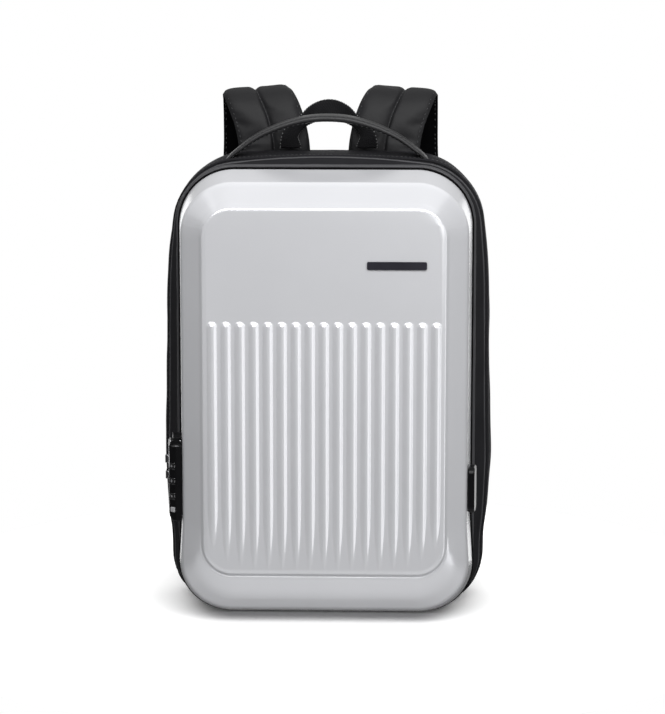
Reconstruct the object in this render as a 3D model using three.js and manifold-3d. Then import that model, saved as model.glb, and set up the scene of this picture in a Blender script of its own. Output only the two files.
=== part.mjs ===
// Laptop backpack with a ribbed hard front shell, a fabric body, a side lock and padded straps.
// Millimetres, +Z up. The front faces -Y, +X is the viewer's right, and the origin lies on the floor
// under the middle of the fabric body.
import * as THREE from "three";
import { mergeVertices } from "three/addons/utils/BufferGeometryUtils.js";
import Module from "manifold-3d";

const wasm = await Module();
wasm.setup();

// Driving sizes of the whole bag
const GAP = 0.3;
const FLOOR = 0;
const RIM_Y = -54;
const PANEL_FACE_Y = -118;
const ZIP_FRONT_Y = -16;
const ZIP_BACK_Y = -8;
const GUSSET_BACK_Y = 42;
const BACK_FACE_Y = 54;
const SHELL_WALL = 2.4;
const CLOTH_WALL = 2.2;

// How finely an outline is divided: along a corner, up a side and along a top or bottom edge
const CORNER_STEPS = 6;
const SIDE_SHARES = [0.14, 0.42, 0.7];
const EDGE_SHARES = [0.34, 0.66];
const SMALL_CORNER_STEPS = 4;

// Points closer than this are one point
const WELD = 1e-4;

// Outlines of the hard shell from its rim to its front panel.
// half: half width, top and bottom: heights of the edges, topCorner and lowCorner: corner radii,
// foot: how much wider the sides stand at the bottom.
const SHELL_ROWS = [
  { y: RIM_Y, half: 140.3, top: 435, bottom: 1, topCorner: 53, lowCorner: 53, foot: 5.6 },
  { y: -94, half: 136.2, top: 428.2, bottom: 12.5, topCorner: 50, lowCorner: 50, foot: 5.6 },
  { y: -98, half: 135, top: 426.4, bottom: 15, topCorner: 49, lowCorner: 49, foot: 5 },
  { y: -101, half: 131.8, top: 422.8, bottom: 18.5, topCorner: 47, lowCorner: 47, foot: 4.2 },
  { y: -108, half: 124, top: 415.2, bottom: 31, topCorner: 39, lowCorner: 42, foot: 2.5 },
  { y: -113.5, half: 117.6, top: 409, bottom: 48.5, topCorner: 31, lowCorner: 32, foot: 0.8 },
  { y: -114.6, half: 116, top: 407.4, bottom: 51.6, topCorner: 29, lowCorner: 29, foot: 0 },
  { y: -117, half: 115, top: 406.4, bottom: 53, topCorner: 28, lowCorner: 28, foot: 0 },
  { y: PANEL_FACE_Y, half: 113, top: 404.4, bottom: 55, topCorner: 26, lowCorner: 26, foot: 0 },
];
const FOOT_HEIGHT = 98;

// Outlines of the fabric body from the shell's rim to the back. Their bottom is the floor where none
// is given. sideBow and topBow: how far the sides and the top edge fall away towards their ends.
const FRONT_GUSSET_ROWS = [
  { y: RIM_Y + GAP, half: 138.6, top: 433.4, bottom: 2.5, topCorner: 52, lowCorner: 51 },
  { y: -50, half: 141.4, top: 436, bottom: 0.8, topCorner: 54, lowCorner: 51, sideBow: 0.4, topBow: 0.4 },
  { y: -35, half: 147, top: 438.2, topCorner: 60, lowCorner: 50, sideBow: 2.6, topBow: 1.4 },
  { y: ZIP_FRONT_Y, half: 153, top: 440.4, topCorner: 67, lowCorner: 48, sideBow: 5.2, topBow: 2.6 },
];
const ZIP_ROWS = [
  { y: ZIP_FRONT_Y + GAP, half: 152.2, top: 439.6, topCorner: 67, lowCorner: 48, sideBow: 5.2, topBow: 2.6 },
  { y: ZIP_BACK_Y, half: 154.4, top: 440.6, topCorner: 69, lowCorner: 47, sideBow: 6, topBow: 3 },
];
const REAR_GUSSET_ROWS = [
  { y: ZIP_BACK_Y + GAP, half: 155.4, top: 441.6, topCorner: 69, lowCorner: 47, sideBow: 6, topBow: 3 },
  { y: 15, half: 159.4, top: 443.2, topCorner: 78, lowCorner: 47, sideBow: 8, topBow: 3.6 },
  { y: 32, half: 158.8, top: 443.2, topCorner: 78, lowCorner: 47, sideBow: 8, topBow: 3.6 },
  { y: GUSSET_BACK_Y, half: 156, top: 441.4, topCorner: 76, lowCorner: 46, sideBow: 7.6, topBow: 3.6 },
];
const BACK_BOWS = { sideBow: 7.4, topBow: 3.6 };
const BACK_PANEL_ROWS = [
  { y: GUSSET_BACK_Y + GAP, half: 154, top: 439.6, bottom: 1, topCorner: 74, lowCorner: 45, ...BACK_BOWS },
  { y: 49, half: 152, top: 437.6, bottom: 3, topCorner: 72, lowCorner: 44, ...BACK_BOWS },
  { y: BACK_FACE_Y, half: 142, top: 427.6, bottom: 13, topCorner: 62, lowCorner: 34, ...BACK_BOWS },
];

// Cloth hinge that joins the opening front to the body along the floor, where the zip stops
const HINGE_HALF = 104;
const HINGE_HEIGHT = 12;
const HINGE_DEPTH = 40;
const HINGE_OVERLAP = 1;

// Ribs pressed into the lower part of the front panel
const RIB_COUNT = 17;
const RIB_PITCH = 13.19;
const RIB_HALF_WIDTH = 4.7;
const RIB_RISE = 2.8;
const RIB_TOP = 298.4;
const RIB_END = 60;
const RIB_FADE_START = 130;
const RIB_CORNER_LIFT = 24;
const RIB_LIFT_POWER = 6;
const RIB_DIVISIONS = { cap: 3, round: 12, length: 5 };

// Plain blank bar near the panel's top right
const BADGE = { x: 68.4, z: 351.4, length: 56, height: 7.6, thick: 1.2, corner: 1.6 };

// Padded shoulder strap on the viewer's left, from its sewn top end over the crest to its tip.
// The other strap mirrors it. dip: depth of the sewn line between its two channels.
const STRAP_ROWS = [
  { x: -54, y: 59.6, z: 398, width: 72, thick: 10, dip: 0.25 },
  { x: -54, y: 60.2, z: 424, width: 72, thick: 11, dip: 0.35 },
  { x: -55, y: 62.5, z: 448, width: 71, thick: 12, dip: 0.42 },
  { x: -61, y: 68, z: 472, width: 69, thick: 13, dip: 0.45 },
  { x: -69, y: 77, z: 487, width: 66, thick: 13.5, dip: 0.45 },
  { x: -74.5, y: 90, z: 492.4, width: 64, thick: 13.5, dip: 0.45 },
  { x: -75.6, y: 102, z: 485, width: 64, thick: 13.5, dip: 0.45 },
  { x: -76, y: 109, z: 466, width: 64, thick: 13.5, dip: 0.45 },
  { x: -77, y: 111, z: 430, width: 63, thick: 13, dip: 0.45 },
  { x: -82, y: 107, z: 370, width: 60, thick: 13, dip: 0.45 },
  { x: -88, y: 98, z: 305, width: 55, thick: 12.5, dip: 0.4 },
  { x: -95, y: 88, z: 245, width: 47, thick: 11, dip: 0.3 },
  { x: -100, y: 81, z: 205, width: 33, thick: 7, dip: 0.1 },
  { x: -101.5, y: 79, z: 192, width: 28, thick: 3.4, dip: 0 },
];
const STRAP_STEPS = 30;

// Webbing from the adjuster to the lower back corner, and the adjuster that it threads
const WEBBING_ROWS = [
  { x: -104.6, y: 74.9, z: 164.9 },
  { x: -108, y: 71.2, z: 135 },
  { x: -113.5, y: 65.6, z: 95 },
  { x: -119, y: 58.4, z: 54 },
  { x: -121, y: 55.7, z: 38 },
];
const WEBBING_WIDTH = 25;
const WEBBING_THICK = 2;
const WEBBING_STEPS = 14;
const ADJUSTER = { width: 36, length: 26, thick: 5, bar: 4, slotWidth: 29 };

// Carry handle on the top, half of its arch from the middle to its sewn end
const HANDLE_Y = 4;
const HANDLE_ROWS = [
  { x: 0, z: 477.8, width: 25, thick: 7 },
  { x: 22, z: 476, width: 25, thick: 7 },
  { x: 46, z: 469.4, width: 25, thick: 6.6 },
  { x: 68, z: 459.4, width: 24, thick: 6 },
  { x: 86, z: 446.6, width: 23, thick: 5 },
  { x: 94, z: 442.2, width: 22, thick: 4 },
  { x: 103, z: 438.9, width: 21, thick: 3.4 },
];
const HANDLE_STEPS = 26;

// Haul loop behind the handle, half of its arch from the middle to its sewn end.
// twist: turn of the band about its own length, in degrees.
const LOOP_ROWS = [
  { x: 0, y: 60, z: 479, width: 22, thick: 3.2, twist: 14 },
  { x: 13, y: 58.5, z: 475, width: 22, thick: 3.2, twist: 24 },
  { x: 25, y: 52, z: 466, width: 21, thick: 3.2, twist: 40 },
  { x: 33.5, y: 43, z: 457, width: 21, thick: 3, twist: 20 },
  { x: 36.5, y: 40, z: 444.6, width: 22, thick: 3, twist: 0 },
];
const LOOP_STEPS = 26;

// Combination lock on the shell's left wall. x runs outward as negative, y from the front back.
const LOCK = { front: -93, middle: 136, height: 74, depth: 36, thick: 12, chamfer: 6.6, bevel: 0.8 };
const LOCK_STEP = { height: 7, thick: 8, depth: 26, sunk: 2 };
const LOCK_LOW_CUT = 6;
const DIAL = { radius: 5.4, height: 6.4, bore: 1.7, pin: 1.4, pocket: 5.8, x: -6.1, y: 7.1 };
const DIAL_SIDES = 20;
const PIN_SIDES = 10;
const DIAL_HEIGHTS = [152.6, 137.8, 123];
const BUTTON = { z: 110, side: 5, height: 4.6, proud: 1.2, depth: 5, travel: 1 };
const PULL_SLOT = { width: 7.2, thick: 3.4, depth: 6, x: -7 };

// Zip sliders whose pulls are caught in the lock
const SLIDER = { length: 10, width: 8, rise: 5, y: -13.1 };
const SLIDER_HEIGHTS = { upper: 144, lower: 128 };
const PULL = { width: 5.6, thick: 2 };

// Moulded port housing on the shell's right wall
const PORT = { front: -92, middle: 130.4, height: 44, depth: 24, thick: 6.4, corner: 5, bevel: 1 };

// Directions
const ALONG_X = new THREE.Vector3(1, 0, 0);
const ALONG_Y = new THREE.Vector3(0, 1, 0);
const UPWARD = new THREE.Vector3(0, 0, 1);

// Colours and finishes
function finish(color, roughness, metalness) {
  return new THREE.MeshStandardMaterial({ color, roughness, metalness });
}
const SILVER_SHELL = finish(0xc9cacd, 0.32, 0.1);
const BODY_CLOTH = finish(0x1b1c1f, 0.75, 0);
const STRAP_CLOTH = finish(0x232427, 0.8, 0);
const BLACK_WEBBING = finish(0x17181a, 0.85, 0);
const ZIP_COIL = finish(0x101113, 0.6, 0);
const LOCK_PLASTIC = finish(0x0e0f11, 0.35, 0);
const DIAL_METAL = finish(0x8b8d92, 0.35, 0.9);
const DARK_METAL = finish(0x3a3b42, 0.35, 0.8);

// A closed geometry as a solid that can be joined and cut
function solidOf(geometry) {
  const bare = new THREE.BufferGeometry();
  const source = geometry.index ? geometry.toNonIndexed() : geometry;
  bare.setAttribute("position", source.getAttribute("position").clone());
  const merged = mergeVertices(bare, WELD);
  return new wasm.Manifold(
    new wasm.Mesh({
      numProp: 3,
      vertProperties: merged.getAttribute("position").array,
      triVerts: new Uint32Array(merged.index.array),
    }),
  );
}

// A solid back as a geometry
function geometryOf(solid) {
  const mesh = solid.getMesh();
  const geometry = new THREE.BufferGeometry();
  geometry.setAttribute("position", new THREE.BufferAttribute(mesh.vertProperties, mesh.numProp));
  geometry.setIndex(new THREE.BufferAttribute(mesh.triVerts, 1));
  return geometry;
}

// Turns an inside-out indexed geometry the right way round
function facingOut(geometry) {
  const position = geometry.getAttribute("position");
  const corner = (n) => new THREE.Vector3().fromBufferAttribute(position, n);
  const index = geometry.index.array;
  let volume = 0;
  for (let i = 0; i < index.length; i += 3) {
    volume += corner(index[i]).dot(corner(index[i + 1]).cross(corner(index[i + 2])));
  }
  if (volume < 0) {
    for (let i = 0; i < index.length; i += 3) {
      [index[i + 1], index[i + 2]] = [index[i + 2], index[i + 1]];
    }
  }
  return geometry;
}

// Triangles that close a ring of points, as numbers within the ring
function capOf(ring) {
  const normal = new THREE.Vector3();
  ring.forEach((point, n) => normal.add(point.clone().cross(ring[(n + 1) % ring.length])));
  normal.normalize();
  const level = Math.abs(normal.z) > Math.abs(normal.x) && Math.abs(normal.z) > Math.abs(normal.y);
  const across = (level ? ALONG_X : UPWARD).clone().cross(normal).normalize();
  const along = normal.clone().cross(across);
  const flat = ring.map((point) => new THREE.Vector2(point.dot(across), point.dot(along)));
  return THREE.ShapeUtils.triangulateShape(flat, []);
}

// Skins rings of equal count. A closed loft joins the last ring to the first, an open one has end caps.
function loft(rings, closed) {
  const count = rings[0].length;
  const spans = closed ? rings.length : rings.length - 1;
  const index = [];
  for (let i = 0; i < spans; i++) {
    const here = i * count;
    const next = ((i + 1) % rings.length) * count;
    for (let k = 0; k < count; k++) {
      const turn = (k + 1) % count;
      index.push(here + k, here + turn, next + turn);
      index.push(here + k, next + turn, next + k);
    }
  }
  if (!closed) {
    const last = (rings.length - 1) * count;
    capOf(rings[0]).forEach(([a, b, c]) => index.push(c, b, a));
    capOf(rings[rings.length - 1]).forEach(([a, b, c]) => index.push(last + a, last + b, last + c));
  }
  const geometry = new THREE.BufferGeometry().setFromPoints(rings.flat());
  geometry.setIndex(index);
  return facingOut(geometry);
}

// One outline of the bag: a rectangle with round corners, drawn in by inset, with its bows applied
function outline(row, inset) {
  const half = row.half - inset;
  const top = row.top - inset;
  const bottom = lowEdge(row) + inset;
  const topRadius = row.topCorner - inset;
  const lowRadius = row.lowCorner - inset;
  const downward = SIDE_SHARES.map((share) => 1 - share).reverse();
  const corners = [
    { x: half - topRadius, z: top - topRadius, radius: topRadius, from: 0, shares: EDGE_SHARES },
    { x: topRadius - half, z: top - topRadius, radius: topRadius, from: 90, shares: downward },
    { x: lowRadius - half, z: bottom + lowRadius, radius: lowRadius, from: 180, shares: EDGE_SHARES },
    { x: half - lowRadius, z: bottom + lowRadius, radius: lowRadius, from: 270, shares: SIDE_SHARES },
  ];
  const onCorner = (corner, step) => {
    const angle = THREE.MathUtils.degToRad(corner.from + (90 * step) / CORNER_STEPS);
    const x = corner.x + corner.radius * Math.cos(angle);
    const z = corner.z + corner.radius * Math.sin(angle);
    return new THREE.Vector3(x, row.y, z);
  };
  const points = [];
  corners.forEach((corner, n) => {
    for (let step = 0; step <= CORNER_STEPS; step++) {
      points.push(onCorner(corner, step));
    }
    const end = onCorner(corner, CORNER_STEPS);
    const next = onCorner(corners[(n + 1) % corners.length], 0);
    corner.shares.forEach((share) => points.push(end.clone().lerp(next, share)));
  });
  return points.map((point) => bowed(point, row));
}

// Height of an outline's bottom edge
function lowEdge(row) {
  return row.bottom ?? FLOOR;
}

// Moves a point of an outline by the row's bows and by its wider foot
function bowed(point, row) {
  const middle = (row.top + lowEdge(row)) / 2;
  const rise = (point.z - middle) / (row.top - middle);
  const reach = point.x / row.half;
  const spread = (row.foot ?? 0) * Math.max(0, (FOOT_HEIGHT - point.z) / FOOT_HEIGHT);
  point.x += Math.sign(point.x) * (spread - (row.sideBow ?? 0) * rise * rise);
  point.z -= (row.topBow ?? 0) * reach * reach * Math.max(0, rise);
  return point;
}

// A fabric wall round the bag, open at the front and the back
function wallRound(rows, thickness) {
  const outside = rows.map((row) => outline(row, 0));
  const inside = rows.map((row) => outline(row, thickness)).reverse();
  return loft([...outside, ...inside], true);
}

// A block of the given size about a middle point
function block(width, depth, height, x, y, z) {
  return solidOf(new THREE.BoxGeometry(width, depth, height).translate(x, y, z));
}

// An upright round bar about a middle point
function upright(radius, height, sides, x, y, z) {
  const bar = new THREE.CylinderGeometry(radius, radius, height, sides);
  return solidOf(bar.rotateX(Math.PI / 2).translate(x, y, z));
}

// Outline of a band's section across its width: two channels with a sewn line between them
const CHANNEL_SECTION = [
  { across: -1, rise: 0 },
  { across: -0.93, rise: 0.66 },
  { across: -0.55, rise: 1 },
  { across: -0.16, rise: 0.86 },
  { across: 0, rise: 1, sewn: true },
  { across: 0.16, rise: 0.86 },
  { across: 0.55, rise: 1 },
  { across: 0.93, rise: 0.66 },
  { across: 1, rise: 0 },
];
const ROLLED_SECTION = [
  { across: -1, rise: 0 },
  { across: -0.9, rise: 0.7 },
  { across: -0.5, rise: 1 },
  { across: 0.5, rise: 1 },
  { across: 0.9, rise: 0.7 },
  { across: 1, rise: 0 },
];
const FLAT_SECTION = [
  { across: -1, rise: 1 },
  { across: 1, rise: 1 },
];
// Points of a section, over the front face and back along the rear face
function sectionPoints(section, dip) {
  const rise = (s) => (s.sewn ? s.rise - dip : s.rise);
  const front = section.map((s) => ({ across: s.across, out: rise(s) }));
  const rear = section.map((s) => ({ across: s.across, out: -rise(s) })).reverse();
  const repeats = (p, q) => p.across === q.across && p.out === q.out;
  return [...front, ...rear].filter((p, n, all) => !repeats(p, all[(n + 1) % all.length]));
}

// A band of cloth along the rows' curve. Its width keeps as near to one direction as its run allows,
// or, if carried, starts that way and turns with the run.
function band(rows, section, steps, direction, carried) {
  const path = new THREE.CatmullRomCurve3(rows.map((r) => new THREE.Vector3(r.x, r.y, r.z)));
  const sizes = new THREE.CatmullRomCurve3(rows.map((r) => new THREE.Vector3(r.width, r.thick, r.dip ?? 0)));
  const turns = new THREE.CatmullRomCurve3(rows.map((r, n) => new THREE.Vector3(r.twist ?? 0, n, 0)));
  const rings = [];
  let across = direction;
  for (let step = 0; step <= steps; step++) {
    const share = step / steps;
    const along = path.getTangent(share);
    const before = carried ? across : direction;
    across = before.clone().addScaledVector(along, -before.dot(along)).normalize();
    const turn = THREE.MathUtils.degToRad(turns.getPoint(share).x);
    const wide = across.clone().applyAxisAngle(along, turn);
    const out = along.clone().cross(wide);
    const size = sizes.getPoint(share);
    const centre = path.getPoint(share);
    const place = (p) => {
      const sideways = centre.clone().addScaledVector(wide, (p.across * size.x) / 2);
      return sideways.addScaledVector(out, (p.out * size.y) / 2);
    };
    rings.push(sectionPoints(section, size.z).map(place));
  }
  return loft(rings, false);
}

// Half of a symmetrical arch as rows of the whole arch, from the left end to the right end
function wholeArch(rows) {
  const left = rows.slice(1).reverse().map((r) => ({ ...r, x: -r.x }));
  return [...left, ...rows];
}

// Hard shell: a tray with a broad sloped border, a raised front panel and pressed ribs
function shellGeometry() {
  const outside = loft(SHELL_ROWS.map((row) => outline(row, 0)), false);
  const pastRim = { ...SHELL_ROWS[0], y: RIM_Y + SHELL_WALL };
  const insideRows = [pastRim, ...SHELL_ROWS.slice(1).map((row) => ({ ...row, y: row.y + SHELL_WALL }))];
  const inside = loft(insideRows.map((row) => outline(row, SHELL_WALL)), false);
  let shell = solidOf(outside);
  for (let n = 0; n < RIB_COUNT; n++) {
    shell = shell.add(solidOf(ribGeometry(n - (RIB_COUNT - 1) / 2)));
  }
  return geometryOf(shell.subtract(solidOf(inside)));
}

// One rib: a flattened round bar with a round top end that sinks into the panel towards the bottom
function ribGeometry(place) {
  const outer = (2 * Math.abs(place)) / (RIB_COUNT - 1);
  const end = RIB_END + RIB_CORNER_LIFT * outer ** RIB_LIFT_POWER;
  const length = RIB_TOP - end;
  const straight = length - 2 * RIB_HALF_WIDTH;
  const { cap, round, length: spans } = RIB_DIVISIONS;
  const geometry = new THREE.CapsuleGeometry(RIB_HALF_WIDTH, straight, cap, round, spans);
  geometry.rotateX(Math.PI / 2);
  geometry.scale(1, RIB_RISE / RIB_HALF_WIDTH, 1);
  geometry.translate(place * RIB_PITCH, PANEL_FACE_Y, end + length / 2);
  const position = geometry.getAttribute("position");
  for (let n = 0; n < position.count; n++) {
    const low = THREE.MathUtils.clamp((RIB_FADE_START - position.getZ(n)) / (RIB_FADE_START - end), 0, 1);
    position.setY(n, position.getY(n) + RIB_RISE * low * low);
  }
  return geometry;
}

// Blank bar with round corners
function badgeGeometry() {
  const shape = roundedPlate(BADGE.length, BADGE.height, BADGE.corner);
  const settings = { depth: BADGE.thick, bevelEnabled: false, curveSegments: SMALL_CORNER_STEPS };
  const geometry = new THREE.ExtrudeGeometry(shape, settings);
  geometry.rotateX(Math.PI / 2);
  return geometry.translate(BADGE.x, PANEL_FACE_Y - GAP, BADGE.z);
}

// A rectangle with round corners about its middle
function roundedPlate(width, height, corner) {
  const x = width / 2 - corner;
  const y = height / 2 - corner;
  const shape = new THREE.Shape();
  shape.absarc(x, y, corner, 0, Math.PI / 2);
  shape.absarc(-x, y, corner, Math.PI / 2, Math.PI);
  shape.absarc(-x, -y, corner, Math.PI, 1.5 * Math.PI);
  shape.absarc(x, -y, corner, 1.5 * Math.PI, 2 * Math.PI);
  return shape;
}

// The front band of the body with the cloth hinge under the zip's gap
function frontGussetGeometry() {
  const bandSolid = solidOf(wallRound(FRONT_GUSSET_ROWS, CLOTH_WALL));
  const overlap = { ...FRONT_GUSSET_ROWS[FRONT_GUSSET_ROWS.length - 1], y: ZIP_FRONT_Y - HINGE_OVERLAP };
  const strip = solidOf(wallRound([overlap, ZIP_ROWS[1]], CLOTH_WALL));
  return geometryOf(bandSolid.add(strip.intersect(hingeSpace(0))));
}

// The stretch of the zip's ring that the hinge fills, made larger by a clearance
function hingeSpace(clearance) {
  const width = 2 * (HINGE_HALF + clearance);
  return block(width, HINGE_DEPTH, 2 * (HINGE_HEIGHT + clearance), 0, ZIP_FRONT_Y, FLOOR);
}

// The zip's band, from one end of the hinge up and round to the other
function zipGeometry() {
  return geometryOf(solidOf(wallRound(ZIP_ROWS, CLOTH_WALL)).subtract(hingeSpace(GAP)));
}

// Rows of a strap for one side: -1 is the viewer's left, 1 the right
function sided(rows, side) {
  return rows.map((row) => ({ ...row, x: -side * row.x }));
}

// Webbing below the adjuster
function webbingGeometry(side) {
  const size = { width: WEBBING_WIDTH, thick: WEBBING_THICK };
  const rows = sided(WEBBING_ROWS, side).map((row) => ({ ...row, ...size }));
  return band(rows, FLAT_SECTION, WEBBING_STEPS, ALONG_X);
}

// Ladder adjuster between the strap's tip and the webbing: a frame with a bar across its middle
function adjusterMesh(side) {
  const tip = sided(STRAP_ROWS, side).at(-1);
  const start = sided(WEBBING_ROWS, side)[0];
  const slot = (ADJUSTER.length - 3 * ADJUSTER.bar) / 2;
  const reach = (slot + ADJUSTER.bar) / 2;
  const solid = [-reach, reach].reduce(
    (frame, z) => frame.subtract(block(ADJUSTER.slotWidth, 2 * ADJUSTER.thick, slot, 0, 0, z)),
    block(ADJUSTER.width, ADJUSTER.thick, ADJUSTER.length, 0, 0, 0),
  );
  const mesh = new THREE.Mesh(geometryOf(solid), LOCK_PLASTIC);
  const top = new THREE.Vector3(tip.x, tip.y, tip.z);
  const low = new THREE.Vector3(start.x, start.y, start.z);
  mesh.position.copy(top).add(low).multiplyScalar(0.5);
  const up = top.clone().sub(low).normalize();
  const across = ALONG_X.clone().addScaledVector(up, -up.x).normalize();
  const depth = up.clone().cross(across);
  mesh.setRotationFromMatrix(new THREE.Matrix4().makeBasis(across, depth, up));
  return mesh;
}

// Places a group on a side wall of the shell, turned to lie along the wall's slope
function onWall(side, frontY, middleZ) {
  const rim = SHELL_ROWS[0];
  const crease = SHELL_ROWS[1];
  const slope = Math.atan((rim.half - crease.half) / (rim.y - crease.y));
  const wallHalf = crease.half + (frontY - crease.y) * Math.tan(slope);
  const group = new THREE.Group();
  group.position.set(side * (wallHalf + GAP), frontY, middleZ);
  group.rotation.z = -side * slope;
  return group;
}

// Section of the lock's housing: a block with its outer front edge cut off
function lockSection(thick, depth) {
  return new THREE.Shape([
    new THREE.Vector2(0, 0),
    new THREE.Vector2(0, depth),
    new THREE.Vector2(-thick, depth),
    new THREE.Vector2(-thick, LOCK.chamfer),
    new THREE.Vector2(LOCK.chamfer - thick, 0),
  ]);
}

// Lock housing with pockets for the dials and the button, and slots for the zip pulls
function lockHousingGeometry() {
  const settings = {
    depth: LOCK.height - 2 * LOCK.bevel,
    bevelSize: LOCK.bevel,
    bevelThickness: LOCK.bevel,
    bevelOffset: -LOCK.bevel,
    bevelSegments: 1,
  };
  const body = new THREE.ExtrudeGeometry(lockSection(LOCK.thick, LOCK.depth), settings);
  let housing = solidOf(body.translate(0, 0, LOCK.bevel - LOCK.height / 2));
  const { thick, depth, height: rise, sunk } = LOCK_STEP;
  const stepZ = LOCK.height / 2 + (rise - sunk) / 2;
  housing = housing.add(block(thick, depth, rise + sunk, -thick / 2, LOCK.depth / 2, stepZ));
  const lowCorner = new THREE.BoxGeometry(2 * LOCK_LOW_CUT, 3 * LOCK.depth, LOCK_LOW_CUT);
  lowCorner.rotateY(Math.PI / 4).translate(-LOCK.thick, 0, -LOCK.height / 2);
  housing = housing.subtract(solidOf(lowCorner));
  DIAL_HEIGHTS.forEach((height) => {
    const z = height - LOCK.middle;
    const pocket = upright(DIAL.pocket, DIAL.height + 2 * GAP, DIAL_SIDES, DIAL.x, DIAL.y, z);
    const pin = upright(DIAL.pin, 2 * DIAL.height, PIN_SIDES, DIAL.x, DIAL.y, z);
    housing = housing.subtract(pocket.subtract(pin));
  });
  const room = BUTTON.depth + BUTTON.travel + GAP;
  const buttonRoom = new THREE.BoxGeometry(BUTTON.side + 2 * GAP, 2 * room, BUTTON.height + 2 * GAP);
  housing = housing.subtract(solidOf(buttonPlaced(buttonRoom)));
  Object.values(SLIDER_HEIGHTS).forEach((height) => {
    const z = height - LOCK.middle;
    housing = housing.subtract(
      block(PULL_SLOT.thick, 2 * PULL_SLOT.depth, PULL_SLOT.width, PULL_SLOT.x, LOCK.depth, z),
    );
  });
  return geometryOf(housing);
}

// Turns a button-shaped geometry square to the middle of the housing's cut edge
function buttonPlaced(geometry) {
  const offset = LOCK.chamfer / 2;
  geometry.rotateZ(-Math.PI / 4);
  return geometry.translate(-LOCK.thick + offset, offset, BUTTON.z - LOCK.middle);
}

// One number dial on its pin
function dialGeometry() {
  const wheel = upright(DIAL.radius, DIAL.height, DIAL_SIDES, 0, 0, 0);
  return geometryOf(wheel.subtract(upright(DIAL.bore, 2 * DIAL.height, PIN_SIDES, 0, 0, 0)));
}

// Release button in the cut edge
function buttonGeometry() {
  const geometry = new THREE.BoxGeometry(BUTTON.side, BUTTON.depth + BUTTON.proud, BUTTON.height);
  geometry.translate(0, (BUTTON.depth - BUTTON.proud) / 2, 0);
  return buttonPlaced(geometry);
}

// The lock as a group on the left wall
function lockGroup() {
  const group = onWall(-1, LOCK.front, LOCK.middle);
  group.add(named("lock_housing", lockHousingGeometry(), LOCK_PLASTIC));
  DIAL_HEIGHTS.forEach((height, n) => {
    const dial = named(`lock_dial_${n + 1}`, dialGeometry(), DIAL_METAL);
    dial.position.set(DIAL.x, DIAL.y, height - LOCK.middle);
    group.add(dial);
  });
  group.add(named("lock_button", buttonGeometry(), DIAL_METAL));
  return group;
}

// A zip slider on the left of the bag, with its pull laid forward into the lock's slot
function sliderGeometry(height, slotPoint) {
  const zip = ZIP_ROWS.at(-1);
  const onZip = bowed(new THREE.Vector3(-zip.half, zip.y, height), zip);
  const seat = onZip.x - GAP;
  const body = block(SLIDER.rise, SLIDER.length, SLIDER.width, seat - SLIDER.rise / 2, SLIDER.y, height);
  const from = new THREE.Vector2(seat - SLIDER.rise / 2, SLIDER.y);
  const run = slotPoint.clone().sub(from);
  const pull = new THREE.BoxGeometry(PULL.thick, run.length(), PULL.width);
  pull.translate(0, -run.length() / 2, 0);
  pull.rotateZ(Math.atan2(run.x, -run.y));
  pull.translate(from.x, from.y, height);
  return geometryOf(body.add(solidOf(pull)));
}

// Port housing with round ends on the right wall
function portGroup() {
  const group = onWall(1, PORT.front, PORT.middle);
  const inset = 2 * PORT.bevel;
  const shape = roundedPlate(PORT.depth - inset, PORT.height - inset, PORT.corner);
  const settings = {
    depth: PORT.thick - inset,
    curveSegments: SMALL_CORNER_STEPS,
    bevelSize: PORT.bevel,
    bevelThickness: PORT.bevel,
    bevelSegments: 1,
  };
  const geometry = new THREE.ExtrudeGeometry(shape, settings);
  geometry.rotateX(Math.PI / 2).rotateZ(Math.PI / 2).translate(PORT.bevel, PORT.depth / 2, 0);
  group.add(named("side_port", geometry, LOCK_PLASTIC));
  return group;
}

// A named mesh of the bag
function named(name, geometry, material) {
  const mesh = new THREE.Mesh(geometry, material);
  mesh.name = name;
  return mesh;
}

// The whole bag
const bag = new THREE.Group();
bag.name = "laptop_backpack";
bag.add(named("front_shell", shellGeometry(), SILVER_SHELL));
bag.add(named("badge_bar", badgeGeometry(), DARK_METAL));
bag.add(named("front_gusset", frontGussetGeometry(), BODY_CLOTH));
bag.add(named("zip_band", zipGeometry(), ZIP_COIL));
bag.add(named("rear_gusset", wallRound(REAR_GUSSET_ROWS, CLOTH_WALL), BODY_CLOTH));
bag.add(named("back_panel", loft(BACK_PANEL_ROWS.map((row) => outline(row, 0)), false), STRAP_CLOTH));
const handleRows = wholeArch(HANDLE_ROWS).map((row) => ({ ...row, y: HANDLE_Y }));
bag.add(named("carry_handle", band(handleRows, ROLLED_SECTION, HANDLE_STEPS, ALONG_Y), STRAP_CLOTH));
const loop = band(wholeArch(LOOP_ROWS), ROLLED_SECTION, LOOP_STEPS, ALONG_X, true);
bag.add(named("haul_loop", loop, BLACK_WEBBING));
for (const [word, side] of [["left", -1], ["right", 1]]) {
  const strap = band(sided(STRAP_ROWS, side), CHANNEL_SECTION, STRAP_STEPS, ALONG_X);
  bag.add(named(`shoulder_strap_${word}`, strap, STRAP_CLOTH));
  bag.add(named(`strap_webbing_${word}`, webbingGeometry(side), BLACK_WEBBING));
  const adjuster = adjusterMesh(side);
  adjuster.name = `strap_adjuster_${word}`;
  bag.add(adjuster);
}
const lock = lockGroup();
bag.add(lock);
lock.updateMatrixWorld(true);
const slot = new THREE.Vector3(PULL_SLOT.x, LOCK.depth - PULL_SLOT.depth / 2, 0);
slot.applyMatrix4(lock.matrixWorld);
for (const [word, height] of Object.entries(SLIDER_HEIGHTS)) {
  const slider = sliderGeometry(height, new THREE.Vector2(slot.x, slot.y));
  bag.add(named(`zip_slider_${word}`, slider, DARK_METAL));
}
bag.add(portGroup());

export default bag;
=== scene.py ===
import math

import bmesh
import bpy
from mathutils import Matrix, Vector, noise


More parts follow.
